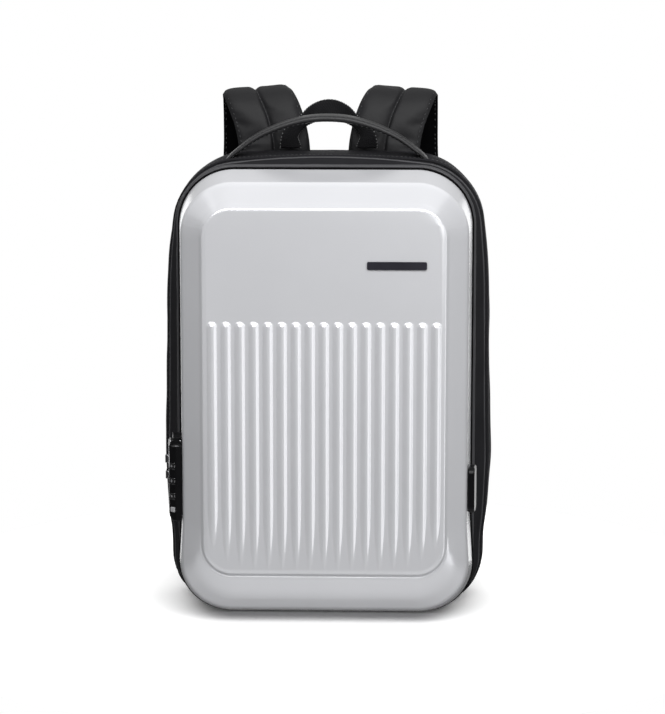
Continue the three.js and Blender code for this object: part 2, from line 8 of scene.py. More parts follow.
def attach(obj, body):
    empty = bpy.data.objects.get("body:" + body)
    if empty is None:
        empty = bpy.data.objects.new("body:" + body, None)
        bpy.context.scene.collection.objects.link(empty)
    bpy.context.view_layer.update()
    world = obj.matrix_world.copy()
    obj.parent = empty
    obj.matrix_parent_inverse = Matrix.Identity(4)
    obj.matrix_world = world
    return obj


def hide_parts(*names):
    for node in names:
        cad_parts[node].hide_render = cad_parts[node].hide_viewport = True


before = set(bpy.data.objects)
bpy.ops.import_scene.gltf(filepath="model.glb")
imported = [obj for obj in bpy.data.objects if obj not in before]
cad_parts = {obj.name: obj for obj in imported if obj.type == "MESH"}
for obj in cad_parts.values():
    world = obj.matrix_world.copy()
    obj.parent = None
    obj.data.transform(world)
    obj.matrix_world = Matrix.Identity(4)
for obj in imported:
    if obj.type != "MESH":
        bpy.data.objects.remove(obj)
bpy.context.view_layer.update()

# Looks of a laptop backpack with a ribbed hard shell. Tables are in millimetres, meshes in metres.
# +Z is up, the front faces -Y and +X is the viewer's right.
MM = 0.001
BAG = "bag"


# Outlines of the bag

FOOT_HEIGHT = 98.0
RIM_Y = -54.7
# The cloth body's top leans to the right, the more the farther it lies behind the shell's rim
BODY_LEAN = 2.0
LEAN_DEPTH = 60.0
TOP_BOW_REACH = 0.4
# Heights, and how far the sides of the cloth body fall in there
SIDE_FALL = (
    (0, 4.5), (68, 4.6), (87, 1.2), (105, -0.4), (145, -2.4), (185, -1.2), (225, -0.3),
    (318, 0.9), (338, 2.2), (357, 3.9), (376, 6.4), (400, 8.8), (427, 11.6), (445, 13),
)
LEGS = 8
TINY = 1e-4
# Largest share of the way to the next row that the rounding of a bend takes up
BEND_REACH = 0.48
BEND_STEPS = 4


def row(y, half, top, corners, bottom=0.0, foot=0.0, lip=0.0, bow=(0.0, 0.0), ease=0.0):
    """One outline at depth y. corners: radii at the top and low corners, foot and lip: how far it
    spreads and comes forward low down, bow: share of the sides' fall, and fall of the top,
    ease: how far its bend is rounded."""
    return {
        "y": y, "half": half, "top": top, "bottom": bottom,
        "top_corner": corners[0], "low_corner": corners[1],
        "foot": foot, "lip": lip, "side_bow": bow[0], "top_bow": bow[1], "ease": ease,
    }


def mixed(first, second, share):
    """A row between two rows, with every column mixed."""
    return {key: first[key] + (second[key] - first[key]) * share for key in first}


def offset(here, out, back=0.0):
    """A row drawn outward by out and moved back by back."""
    moved = dict(here)
    moved["y"] += back
    moved["bottom"] -= out
    for key in ("half", "top", "top_corner", "low_corner"):
        moved[key] += out
    return moved


def profile_length(first, second):
    """Distance between two rows, seen in the bag's section."""
    across = max(abs(second["half"] - first["half"]), abs(second["top"] - first["top"]))
    return math.hypot(second["y"] - first["y"], across)


def softened(rows):
    """Rows in which each bend of the profile is rounded over its own ease."""
    made = [rows[0]]
    for before, here, after in zip(rows, rows[1:], rows[2:]):
        first = mixed(here, before, min(BEND_REACH, here["ease"] / profile_length(before, here)))
        last = mixed(here, after, min(BEND_REACH, here["ease"] / profile_length(here, after)))
        for step in range(BEND_STEPS + 1):
            share = step / BEND_STEPS
            made.append(mixed(mixed(first, here, share), mixed(here, last, share), share))
    made.append(rows[-1])
    return made


def corner_of(here, leg):
    """Middle and radius of a round corner. Legs 0, 2, 4 and 6 are corners, from the top right to the left."""
    upper = leg < 4
    radius = here["top_corner"] if upper else here["low_corner"]
    x = here["half"] - radius
    z = here["top"] - radius if upper else here["bottom"] + radius
    return (x if leg in (0, 6) else -x), z, radius


def on_corner(here, leg, share):
    """Point of a round corner, before the bows."""
    x, z, radius = corner_of(here, leg)
    angle = math.radians(45 * leg + 90 * share)
    return x + radius * math.cos(angle), z + radius * math.sin(angle)


def straight_edge(here, leg):
    """First and last point of the straight edge between two corners, before the bows."""
    return on_corner(here, leg - 1, 1.0), on_corner(here, (leg + 1) % LEGS, 0.0)


def side_fall(z):
    """How far the sides of the cloth body fall in at a height."""
    for (low, first), (high, last) in zip(SIDE_FALL, SIDE_FALL[1:]):
        if z <= high:
            return first + (last - first) * (z - low) / (high - low)
    return SIDE_FALL[-1][1]


def bowed(here, x, z):
    """A point of the row's plane in metres, moved by the row's bows and wider foot, and off the floor."""
    middle = (here["top"] + here["bottom"]) / 2
    rise = (z - middle) / (here["top"] - middle)
    reach = x / here["half"]
    low = max(0.0, 1.0 - z / FOOT_HEIGHT)
    behind = min(max((here["y"] - RIM_Y) / LEAN_DEPTH, 0.0), 1.0)
    x += reach * (here["foot"] * low - here["side_bow"] * side_fall(z))
    x += BODY_LEAN * behind * max(0.0, rise) ** 2
    z -= here["top_bow"] * min(reach * reach, TOP_BOW_REACH) * max(0.0, rise)
    return Vector((x, here["y"] - here["lip"] * low, max(z, 0.0))) * MM


def outline_point(here, place):
    """Point of a row's outline. place runs from 0 to 8, one for each round corner and each straight edge."""
    leg = int(place) % LEGS
    share = place - int(place)
    if leg % 2 == 0:
        return bowed(here, *on_corner(here, leg, share))
    first, last = straight_edge(here, leg)
    x, z = (start + (end - start) * share for start, end in zip(first, last))
    return bowed(here, x, z)


def place_of(here, x, z):
    """Place round a row's outline of a point that lies on it, before the bows."""
    for leg in range(0, LEGS, 2):
        corner_x, corner_z, _ = corner_of(here, leg)
        beyond_x = (x - corner_x) * (1 if leg in (0, 6) else -1)
        beyond_z = (z - corner_z) * (1 if leg < 4 else -1)
        if beyond_x >= -TINY and beyond_z >= -TINY:
            angle = math.degrees(math.atan2(z - corner_z, x - corner_x)) - 45 * leg
            share = ((angle + 180) % 360 - 180) / 90
            return leg + min(max(share, 0.0), 1.0)
    if abs(x) >= here["half"] - TINY:
        leg = 7 if x > 0 else 3
    else:
        leg = 1 if z > (here["top"] + here["bottom"]) / 2 else 5
    first, last = (Vector(end) for end in straight_edge(here, leg))
    run = last - first
    return leg + (Vector((x, z)) - first).dot(run) / run.length_squared


# Mesh building

# Steps along each leg of an outline: right top corner, top, left top corner, left side and so on
RING_STEPS = (14, 22, 14, 28, 14, 22, 14, 28)
SEAM_WELD = 1e-6
SOLID_WELD = 1e-5
SHARP_DEGREES = 35


def grow(bm, loop, where):
    """Extrudes a loop of edges, puts its new points where they belong and returns the new loop."""
    made = bmesh.ops.extrude_edge_only(bm, edges=loop)["geom"]
    points = {part for part in made if isinstance(part, bmesh.types.BMVert)}
    for point in points:
        point.co = where(point)
    edges = [part for part in made if isinstance(part, bmesh.types.BMEdge)]
    return [edge for edge in edges if edge.verts[0] in points and edge.verts[1] in points]


def grow_through(bm, loop, rows):
    """Grows a loop of edges through rows, by the place that its points have round the outline."""
    place = bm.verts.layers.float["place"]
    for here in rows:
        loop = grow(bm, loop, lambda point: outline_point(here, point[place]))
    return loop


def wrapped(rows, steps=RING_STEPS):
    """A closed skin round the bag through the rows, whose last one joins the first."""
    bm = bmesh.new()
    place = bm.verts.layers.float.new("place")
    places = [leg + step / count for leg, count in enumerate(steps) for step in range(count)]
    ring = bmesh.ops.create_circle(bm, segments=len(places), radius=1.0)["verts"]
    for point, value in zip(ring, places):
        point[place] = value
        point.co = outline_point(rows[0], value)
    grow_through(bm, bm.edges[:], rows[1:] + rows[:1])
    bmesh.ops.remove_doubles(bm, verts=bm.verts, dist=SEAM_WELD)
    bmesh.ops.recalc_face_normals(bm, faces=bm.faces)
    return bm


def wall(rows, thickness):
    """Rows of a cloth wall: its outside and, coming back, its inside."""
    return rows + [offset(here, -thickness) for here in reversed(rows)]


def round_cord(here, radius, sides):
    """Rows of a round cord that follows an outline."""
    turns = [math.tau * side / sides for side in range(sides)]
    return [offset(here, radius * math.sin(turn), radius * math.cos(turn)) for turn in turns]


def spaced(low, high, count):
    """Even steps from low to high."""
    return [low + (high - low) * n / count for n in range(count + 1)]


def flat_panel(here, columns, heights):
    """A flat sheet cut to a row's outline, with its lines at the given columns and heights.
    Its edge points know their place round the outline."""
    bm = bmesh.new()
    place = bm.verts.layers.float.new("place")
    across = len(columns) - 1
    up = len(heights) - 1
    bmesh.ops.create_grid(bm, x_segments=across, y_segments=up, size=1.0)
    for point in bm.verts:
        column = round((point.co.x + 1) / 2 * across)
        height = round((point.co.y + 1) / 2 * up)
        point.co = (columns[column], here["y"], heights[height])
    steps = RING_STEPS[0]
    for leg in range(0, LEGS, 2):
        for step in range(steps):
            first = on_corner(here, leg, step / steps)
            middle = math.radians(45 * leg + 90 * (step + 0.5) / steps)
            bmesh.ops.bisect_plane(
                bm,
                geom=bm.verts[:] + bm.edges[:] + bm.faces[:],
                dist=TINY,
                plane_co=(first[0], here["y"], first[1]),
                plane_no=(math.cos(middle), 0.0, math.sin(middle)),
                clear_outer=True,
            )
    for point in bm.verts:
        x, z = point.co.x, point.co.z
        if point.is_boundary:
            point[place] = place_of(here, x, z)
        point.co = bowed(here, x, z)
    return bm


def fold_back(bm, rows):
    """Grows the edge of a flat panel through rows and closes it behind. Returns the faces that close it."""
    loop = grow_through(bm, [edge for edge in bm.edges if edge.is_boundary], rows)
    return bmesh.ops.edgeloop_fill(bm, edges=loop)["faces"]


def box(size):
    """A plain block about the origin."""
    bm = bmesh.new()
    bmesh.ops.create_cube(bm, size=1.0)
    bmesh.ops.scale(bm, vec=Vector(size) * MM, verts=bm.verts)
    return bm


def round_off(bm, edges, radius, segments):
    """Rounds edges of a block."""
    how = {"affect": "EDGES", "profile": 0.5, "material": -1, "clamp_overlap": True}
    bmesh.ops.bevel(bm, geom=edges, offset=radius * MM, segments=segments, **how)


def mesh_object(name, bm, material, smooth):
    """Turns a bmesh into an object of the scene."""
    mesh = bpy.data.meshes.new(name)
    bm.to_mesh(mesh)
    bm.free()
    mesh.materials.append(material)
    mesh.polygons.foreach_set("use_smooth", [smooth] * len(mesh.polygons))
    made = bpy.data.objects.new(name, mesh)
    bpy.context.scene.collection.objects.link(made)
    return made


def piece(name, bm, material, body=BAG, stands_for=(), smooth=True):
    """A piece of the bag that rides on a body."""
    made = mesh_object(name, bm, material, smooth)
    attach(made, body)
    if stands_for:
        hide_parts(*stands_for)
    return made


def subdivide(made):
    """Rounds a piece with a subdivision surface."""
    modifier = made.modifiers.new("rounding", "SUBSURF")
    modifier.levels = 1
    modifier.render_levels = 1


def even_shading(made):
    """Keeps flat stretches flat beside tight bends."""
    modifier = made.modifiers.new("even shading", "WEIGHTED_NORMAL")
    modifier.keep_sharp = True


def dress(name, cover, width, segments):
    """Gives a solid of the frame its finish, and rounds its sharp edges."""
    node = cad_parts[name]
    node.data.materials[0] = cover
    weld = node.modifiers.new("weld", "WELD")
    weld.merge_threshold = SOLID_WELD
    bevel = node.modifiers.new("edges", "BEVEL")
    bevel.width = width * MM
    bevel.segments = segments
    bevel.limit_method = "ANGLE"
    bevel.angle_limit = math.radians(SHARP_DEGREES)
    bevel.harden_normals = True


def push_out(bm, depth):
    """Moves each point along its normal by depth(point) and keeps it off the floor."""
    bm.normal_update()
    moves = [point.normal * (depth(point) * MM) for point in bm.verts]
    for point, move in zip(bm.verts, moves):
        point.co += move
        point.co.z = max(point.co.z, 0.0)


def crumple(bm, depth, size, across=(1.0, 1.0, 1.0)):
    """Gives a skin the slack of sewn cloth by smooth noise. size is that of a fold."""
    def slack(point):
        where = Vector(point.co[axis] * across[axis] for axis in range(3)) / (size * MM)
        return noise.noise(where) * depth

    push_out(bm, slack)


# Bands of cloth along a curve

ALONG_X = Vector((1, 0, 0))
ALONG_Y = Vector((0, 1, 0))


def station(x, y, z, width, thick, dip=0.0, twist=0.0):
    """One station of a band: its middle, its section's size, the depth of its sewn line and its twist."""
    return {"x": x, "y": y, "z": z, "width": width, "thick": thick, "dip": dip, "twist": twist}


def through(a, b, c, d, share):
    """Value between b and c on the smooth curve through four values."""
    bend = (2 * a - 5 * b + 4 * c - d) * share**2 + (3 * b - a - 3 * c + d) * share**3
    return b + ((c - a) * share + bend) / 2


def curved(rows, steps):
    """Rows along a smooth curve through the given ones, with so many steps between each two."""
    made = []
    for n in range(len(rows) - 1):
        a, b = rows[max(n - 1, 0)], rows[n]
        c, d = rows[n + 1], rows[min(n + 2, len(rows) - 1)]
        for step in range(steps):
            made.append({key: through(a[key], b[key], c[key], d[key], step / steps) for key in b})
    made.append(dict(rows[-1]))
    return made


def frames_along(rows, way, carried=False):
    """For each row its middle, width and outward directions, run and own sizes. Its width keeps to one way,
    or, if carried, turns with the run."""
    middles = [Vector((here["x"], here["y"], here["z"])) for here in rows]
    made = []
    wide = way
    run = 0.0
    for n, here in enumerate(rows):
        ahead = (middles[min(n + 1, len(rows) - 1)] - middles[max(n - 1, 0)]).normalized()
        before = wide if carried else way
        wide = (before - ahead * before.dot(ahead)).normalized()
        turned = Matrix.Rotation(math.radians(here["twist"]), 3, ahead) @ wide
        run += (middles[n] - middles[n - 1]).length if n else 0.0
        directions = {"wide": turned, "out": ahead.cross(turned), "ahead": ahead}
        made.append({**here, **directions, "middle": middles[n], "run": run})
    return made


def over_and_back(share, columns):
    """Place across a flat section from -1 to 1, and its face: 1 is the front and -1 the back."""
    half = len(columns) - 1
    n = round(share * 2 * half)
    return (columns[n], 1) if n <= half else (columns[2 * half - n], -1)


def mirrored_columns(*half):
    """Columns from -1 to 1 from those between 0 and 1."""
    return [-value for value in reversed(half[1:])] + list(half)


def band(stations, columns, section):
    """A skin along the stations. section(station, across, face) gives how far across and out a point lies."""
    bm = bmesh.new()
    share = bm.verts.layers.float.new("share")
    across = bm.verts.layers.float.new("across")
    run = bm.verts.layers.float.new("run")
    count = 2 * (len(columns) - 1)
    ring = bmesh.ops.create_circle(bm, segments=count, radius=1.0)["verts"]
    for n, point in enumerate(ring):
        point[share] = n / count

    def settle(point, here):
        sideways, out = section(here, *over_and_back(point[share], columns))
        point[across] = sideways * MM
        point[run] = here["run"] * MM
        return (here["middle"] + here["wide"] * sideways + here["out"] * out) * MM

    for point in ring:
        point.co = settle(point, stations[0])
    first = bm.edges[:]
    last = first
    for here in stations[1:]:
        last = grow(bm, last, lambda point: settle(point, here))
    for end in (first, last):
        bmesh.ops.edgeloop_fill(bm, edges=end)
    bmesh.ops.recalc_face_normals(bm, faces=bm.faces)
    return bm


def whole_arch(rows):
    """The rows of a whole arch from those of its right half."""
    left = [{**here, "x": -here["x"]} for here in reversed(rows[1:])]
    return left + rows


def sided(rows, side):
    """Rows that are written for the left, on the left (-1) or the right (1)."""
    return [{**here, "x": -side * here["x"], "twist": -side * here["twist"]} for here in rows]


def cushion(across, squareness):
    """Height of a padded section at a place across it: 1 in its middle, 0 at its edges."""
    return max(0.0, 1 - abs(across) ** squareness) ** 0.5


# Stitches

STITCH = {"start": 2.1, "pitch": 4.2, "length": 3.0, "width": 0.75}
# Steps by which a seam round the bag is measured, in places of its outline
SEAM_STEP = 0.004


def add_stitch(bm, point, ahead, out, stitch):
    """One stitch: a small bead of thread lying along the seam."""
    side = out.cross(ahead)
    turn = Matrix((ahead, side, out)).transposed().to_4x4()
    thick = stitch["width"] * MM / 2
    size = Matrix.Diagonal((stitch["length"] * MM / 2, thick, thick, 1))
    place = Matrix.Translation(point) @ turn @ size
    bmesh.ops.create_icosphere(bm, subdivisions=1, radius=1.0, matrix=place)


def stitch_band(bm, stations, seam, rise, stitch=STITCH):
    """Stitches along a band, at a place across it from -1 to 1. rise(station) gives how far out they lie."""
    following = stitch["start"]
    for here in stations:
        if here["run"] < following:
            continue
        following = here["run"] + stitch["pitch"]
        out = rise(here)
        point = here["middle"] + here["wide"] * (seam * here["width"] / 2) + here["out"] * out
        way = here["out"] if out >= 0 else -here["out"]
        add_stitch(bm, point * MM, here["ahead"], way, stitch)


def stitch_outline(bm, here):
    """A row of stitches all round an outline."""
    points = [outline_point(here, SEAM_STEP * n) for n in range(int(LEGS / SEAM_STEP))]
    run = 0.0
    following = 0.0
    for before, point in zip(points, points[1:]):
        step = point - before
        run += step.length
        if run < following:
            continue
        following = run + STITCH["pitch"] * MM
        ahead = step.normalized()
        add_stitch(bm, point, ahead, ahead.cross(ALONG_Y), STITCH)


# Padding

SWELL_FRAMES = 20
SWELL_CLOTH = {
    "quality": 6,
    "mass": 0.25,
    "tension_stiffness": 18,
    "compression_stiffness": 18,
    "bending_stiffness": 2.0,
}


def steady_order(mesh):
    """Order of a mesh's points by their places, and its faces in that order. Each run gives the same."""
    order = sorted(range(len(mesh.vertices)), key=lambda index: mesh.vertices[index].co[:])
    rank = {index: place for place, index in enumerate(order)}
    faces = []
    for face in mesh.polygons:
        corners = [rank[index] for index in face.vertices]
        lowest = corners.index(min(corners))
        faces.append(corners[lowest:] + corners[:lowest])
    return order, sorted(faces)


def swell(made, held, pressure, cap, slack):
    """Swells a padded piece by cloth simulation. Held points stay, and none moves further than cap.
    The simulation runs on a stand-in in a steady order, so that each run gives the same result."""
    scene = bpy.context.scene
    points = made.data.vertices
    order, faces = steady_order(made.data)
    mesh = bpy.data.meshes.new("stand_in")
    mesh.from_pydata([points[index].co for index in order], [], faces)
    stand_in = bpy.data.objects.new("stand_in", mesh)
    scene.collection.objects.link(stand_in)
    group = stand_in.vertex_groups.new(name="held")
    held = set(held)
    group.add([place for place, index in enumerate(order) if index in held], 1.0, "REPLACE")
    cloth = stand_in.modifiers.new("swelling", "CLOTH")
    settings = cloth.settings
    for key, value in SWELL_CLOTH.items():
        setattr(settings, key, value)
    settings.shrink_min = -slack
    settings.vertex_group_mass = group.name
    settings.use_pressure = True
    settings.uniform_pressure_force = pressure
    settings.effector_weights.gravity = 0
    cloth.point_cache.frame_end = SWELL_FRAMES
    for step in range(1, SWELL_FRAMES + 1):
        scene.frame_set(step)
    shown = stand_in.evaluated_get(bpy.context.evaluated_depsgraph_get())
    for index, after in zip(order, shown.data.vertices):
        move = after.co - points[index].co
        if move.length > cap * MM:
            move *= cap * MM / move.length
        points[index].co += move
    bpy.data.objects.remove(stand_in)
    bpy.data.meshes.remove(mesh)
    scene.frame_set(1)


# Shader building

def add(tree, kind, inputs=None, **settings):
    """Adds a shader node. An input is a value, or a socket to link from."""
    made = tree.nodes.new(kind)
    for key, value in settings.items():
        setattr(made, key, value)
    for key, value in (inputs or {}).items():
        if isinstance(value, bpy.types.NodeSocket):
            tree.links.new(value, made.inputs[key])
        else:
            made.inputs[key].default_value = value
    return made


def maths(tree, operation, *values):
    """Result of one sum on numbers or sockets."""
    return add(tree, "ShaderNodeMath", dict(enumerate(values)), operation=operation).outputs[0]


def spread(tree, value, ends, span=(0.0, 1.0)):
    """A value brought from a span to between two ends."""
    given = {"Value": value, "From Min": span[0], "From Max": span[1], "To Min": ends[0], "To Max": ends[1]}
    return add(tree, "ShaderNodeMapRange", given).outputs[0]


def waves(tree, along, pitch):
    """Waves between -1 and 1 along a measure."""
    turns = maths(tree, "DIVIDE", math.tau, pitch)
    return maths(tree, "SINE", maths(tree, "MULTIPLY", along, turns))


def crossed(tree, first, second):
    """The height, from 0 to 1, where two sets of waves cross."""
    return maths(tree, "MULTIPLY_ADD", maths(tree, "MULTIPLY", first, second), 0.5, 0.5)


def patches(tree, where, scale, detail):
    """Smooth noise over a surface."""
    return add(tree, "ShaderNodeTexNoise", {"Vector": where, "Scale": scale, "Detail": detail}).outputs[0]


def effect(name, inputs, surface):
    """A shader node group with number inputs. surface(tree, given, where) makes its height and its tone."""
    tree = bpy.data.node_groups.new(name, "ShaderNodeTree")
    for socket in inputs:
        tree.interface.new_socket(socket, in_out="INPUT", socket_type="NodeSocketFloat")
    for socket in ("Height", "Tone"):
        tree.interface.new_socket(socket, in_out="OUTPUT", socket_type="NodeSocketFloat")
    given = tree.nodes.new("NodeGroupInput").outputs
    result = tree.nodes.new("NodeGroupOutput").inputs
    where = add(tree, "ShaderNodeTexCoord").outputs["Object"]
    height, tone = surface(tree, given, where)
    tree.links.new(height, result["Height"])
    tree.links.new(tone, result["Tone"])
    return tree


def woven(tree, given, where):
    """Woven cloth: the height of its threads and an uneven tone. Pitch is that of a thread, in metres."""
    axes = add(tree, "ShaderNodeSeparateXYZ", {0: where}).outputs
    warp = waves(tree, maths(tree, "ADD", axes["X"], axes["Y"]), given["Pitch"])
    weft = waves(tree, maths(tree, "SUBTRACT", axes["Z"], axes["Y"]), given["Pitch"])
    return crossed(tree, warp, weft), patches(tree, where, given["Patch Scale"], detail=3.0)


def moulded(tree, given, where):
    """Moulded surface: fine grain as height, and a slow change of tone."""
    grain = patches(tree, where, given["Grain Scale"], detail=2.0)
    return grain, patches(tree, where, given["Patch Scale"], detail=4.0)


def ribbed(tree, given, where):
    """Ribbed webbing: ridges along the band and finer ones across it, from the band's own measures."""
    across = add(tree, "ShaderNodeAttribute", attribute_name="across").outputs["Fac"]
    run = add(tree, "ShaderNodeAttribute", attribute_name="run").outputs["Fac"]
    ridges = waves(tree, across, given["Ridge"])
    picks = waves(tree, run, given["Pick"])
    return crossed(tree, ridges, picks), patches(tree, where, given["Patch Scale"], detail=2.0)


def colour(tone):
    """A colour from its red, green and blue, or from a grey and its blue."""
    return (tone[0], *tone[-2:], 1.0)


def new_material(name):
    """A new material, with its node tree and its shader's sockets."""
    made = bpy.data.materials.new(name)
    made.use_nodes = True
    return made, made.node_tree, made.node_tree.nodes["Principled BSDF"].inputs


def finish(name, dark, light, roughness, surface, bump, fixed=None):
    """A material: two colours and two roughnesses mixed by a surface's tone, and a bump from its height.
    surface: an effect and its values, bump: strength, and depth in millimetres,
    fixed: values of the shader's own sockets."""
    made, tree, sockets = new_material(name)
    for socket, value in (fixed or {}).items():
        sockets[socket].default_value = value
    group, given = surface
    shown = add(tree, "ShaderNodeGroup", node_tree=group)
    for socket, value in given.items():
        shown.inputs[socket].default_value = value
    tone = shown.outputs["Tone"]
    colours = {"Factor": tone, 6: colour(dark), 7: colour(light)}
    shade = add(tree, "ShaderNodeMix", colours, data_type="RGBA").outputs[2]
    tree.links.new(shade, sockets["Base Color"])
    tree.links.new(spread(tree, tone, roughness), sockets["Roughness"])
    relief = {"Strength": bump[0], "Distance": bump[1] * MM, "Height": shown.outputs["Height"]}
    tree.links.new(add(tree, "ShaderNodeBump", relief).outputs[0], sockets["Normal"])
    return made


# Finishes

WEAVE = effect("woven_threads", ("Pitch", "Patch Scale"), woven)
GRAIN = effect("moulded_grain", ("Grain Scale", "Patch Scale"), moulded)
RIDGES = effect("webbing_ridges", ("Ridge", "Pick", "Patch Scale"), ribbed)

FINE_WEAVE = (WEAVE, {"Pitch": 0.0011, "Patch Scale": 35.0})
COARSE_WEAVE = (WEAVE, {"Pitch": 0.0019, "Patch Scale": 22.0})
MOULDED = (GRAIN, {"Grain Scale": 2600.0, "Patch Scale": 30.0})
SATIN = (GRAIN, {"Grain Scale": 500.0, "Patch Scale": 12.0})
WEBBING = (RIDGES, {"Ridge": 0.0042, "Pick": 0.0021, "Patch Scale": 90.0})

CLOTH = {"Specular IOR Level": 0.01}
SATIN_CLOTH = {"Specular IOR Level": 0.26}

silver_shell = finish(
    "silver_shell", (0.62, 0.625, 0.65), (0.66, 0.665, 0.69), (0.21, 0.24), SATIN, (0.02, 0.04),
    {"Metallic": 0.35, "Coat Weight": 0.25, "Coat Roughness": 0.18},
)
body_cloth = finish(
    "body_cloth", (0.014, 0.0155), (0.021, 0.023), (0.4, 0.52), FINE_WEAVE, (0.2, 0.2), CLOTH
)
# Lighter, glossier copy of the body cloth: its pale tone is a painted highlight on the piping's lit beads
piping_cloth_painted_highlight = finish(
    "piping_cloth_painted_highlight", (0.034, 0.037), (0.052, 0.056), (0.34, 0.46), FINE_WEAVE, (0.2, 0.2), SATIN_CLOTH
)
# Near-black trim: its tone also paints the shadow in the gap between the shell's rim and the cloth
black_trim_painted_shade = finish(
    "black_trim_painted_shade", (0.0006, 0.0007), (0.0012, 0.0014), (0.6, 0.7), MOULDED, (0.05, 0.05),
    {"Specular IOR Level": 0.04},
)
strap_cloth = finish(
    "strap_cloth", (0.006, 0.0068), (0.010, 0.0112), (0.56, 0.66), FINE_WEAVE, (0.15, 0.2), SATIN_CLOTH
)
# Black mesh lining, darker than the strap by painted shade on the side that faces the wearer
strap_lining_painted_shade = finish(
    "strap_lining_painted_shade", (0.0012, 0.0014), (0.003, 0.0033), (0.8, 0.9), COARSE_WEAVE, (0.4, 0.5), CLOTH
)
back_mesh = finish(
    "back_mesh", (0.026, 0.028), (0.044, 0.046), (0.7, 0.85), COARSE_WEAVE, (0.6, 0.7), CLOTH
)
handle_cloth = finish(
    "handle_cloth", (0.019, 0.020), (0.025, 0.0265), (0.32, 0.42), FINE_WEAVE, (0.12, 0.2), SATIN_CLOTH
)
webbing_cloth = finish(
    "webbing_cloth", (0.008, 0.0086), (0.014, 0.015), (0.6, 0.75), WEBBING, (0.7, 0.6), CLOTH
)
zip_tape = finish(
    "zip_tape", (0.008, 0.009), (0.014, 0.0155), (0.7, 0.8), FINE_WEAVE, (0.3, 0.3), CLOTH
)
zip_coil_nylon = finish(
    "zip_coil_nylon", (0.010, 0.011), (0.016, 0.0175), (0.4, 0.5), MOULDED, (0.05, 0.05), CLOTH
)
thread = finish(
    "thread", (0.030, 0.032), (0.050, 0.053), (0.5, 0.6), MOULDED, (0.1, 0.05)
)
# Pale thread: its tone also paints the highlight along the haul loop's lit edges
edge_thread_and_highlight = finish(
    "edge_thread_and_highlight", (0.060, 0.061), (0.160, 0.162), (0.4, 0.5), SATIN, (0.1, 0.05)
)
lock_plastic = finish(
    "lock_plastic", (0.002, 0.0024), (0.004, 0.0046), (0.25, 0.32), MOULDED, (0.12, 0.05),
    {"Specular IOR Level": 0.2},
)
buckle_plastic = finish(
    "buckle_plastic", (0.020, 0.022), (0.030, 0.0325), (0.4, 0.5), MOULDED, (0.2, 0.06)
)
dial_metal = finish(
    "dial_metal", (0.10, 0.105), (0.16, 0.165), (0.18, 0.26), MOULDED, (0.08, 0.05),
    {"Metallic": 1.0},
)
dark_metal = finish(
    "dark_metal", (0.035, 0.034, 0.045), (0.06, 0.058, 0.075), (0.25, 0.36), MOULDED, (0.08, 0.05),
    {"Metallic": 0.85},
)
slider_metal = finish(
    "slider_metal", (0.30, 0.31), (0.42, 0.43), (0.12, 0.2), SATIN, (0.08, 0.05),
    {"Metallic": 1.0},
)
pale_mark = finish(
    "pale_mark", (0.30, 0.31), (0.36, 0.37), (0.3, 0.4), MOULDED, (0.05, 0.05)
)


# Hard shell

PANEL = row(y=-118, half=110.9, top=401.4, bottom=57.2, corners=(23.8, 23.8))
SHELL_ROWS = [
    PANEL,
    row(y=-117.4, half=114.4, top=404.4, bottom=54.0, corners=(27, 27), ease=1.2),
    row(y=-114.2, half=117.0, top=408.2, bottom=51.4, corners=(29.8, 29.8), ease=0.9),
    row(y=-112.9, half=118.4, top=409.8, bottom=49.6, corners=(31.2, 31.2), lip=4.2, ease=0.8),
    row(y=-108, half=124, top=415.2, bottom=31, corners=(39, 42), foot=2.5, lip=5.0, ease=5),
    row(y=-98.6, half=134.5, top=424.4, bottom=15.6, corners=(48.6, 48.8), foot=5, lip=1.5, ease=2.6),
    row(y=-94.4, half=136.1, top=426.6, bottom=12.7, corners=(50, 50), foot=5.6, ease=1.6),
    row(y=-54.7, half=139.9, top=434.3, bottom=1.2, corners=(53, 53), foot=5.6, ease=0.9),
    row(y=-53.9, half=138.9, top=433.5, bottom=2.6, corners=(51.6, 51.6), foot=5.6, ease=0.7),
    row(y=-56, half=138.0, top=432.6, bottom=3.5, corners=(50.7, 50.7), foot=5.6, ease=0.6),
    row(y=-92, half=133.8, top=425.7, bottom=15.0, corners=(47.7, 47.7), foot=5.6, ease=2),
    row(y=-106, half=121.4, top=412.8, bottom=33.4, corners=(36.6, 39.6), foot=2.5, ease=3),
    row(y=-114.6, half=111, top=402, bottom=58, corners=(24, 24)),
]
RIB_COUNT = 17
RIB_PITCH = 13.19
RIB_HALF = 4.8
RIB_RISE = 2.3
RIB_TOP = 297.4
# The ribs sink in from one height to their end, which rises towards the panel's corners
RIB_FADE_START = 122.0
RIB_END = 58.0
RIB_CORNER_LIFT = 22.0
RIB_LIFT_POWER = 6
RIB_CELLS = 20
# How round a rib is: 1 would be a roof with flat sides, 2 is a round bar
RIB_CURVE = 1.7
RIB_FILLET = 0.1
# Half widths from a rib's middle past which the panel is flat
RIB_FAR = 2.0
# Heights between which the panel's lines are spread, and how many lie below each
PANEL_STOPS = ((PANEL["bottom"], 0), (RIB_FADE_START, 36), (286, 8), (302, 26), (PANEL["top"], 8))
# Columns nearer to the panel's edge than this are left out
PANEL_MARGIN = 0.3


def rib_height(x, z):
    """How far the panel stands out at a point: ribs with a soft foot that sink in towards the bottom."""
    outermost = (RIB_COUNT - 1) / 2
    number = min(max(round(x / RIB_PITCH), -outermost), outermost)
    end = RIB_END + RIB_CORNER_LIFT * (abs(number) / outermost) ** RIB_LIFT_POWER
    low = max((RIB_FADE_START - z) / (RIB_FADE_START - end), 0.0)
    past = max(0.0, z - (RIB_TOP - RIB_HALF))
    reach = min(math.hypot(x - number * RIB_PITCH, past) / RIB_HALF, RIB_FAR)
    height = 1 - reach**RIB_CURVE - low**2
    return RIB_RISE * (height + math.hypot(height, RIB_FILLET)) / 2


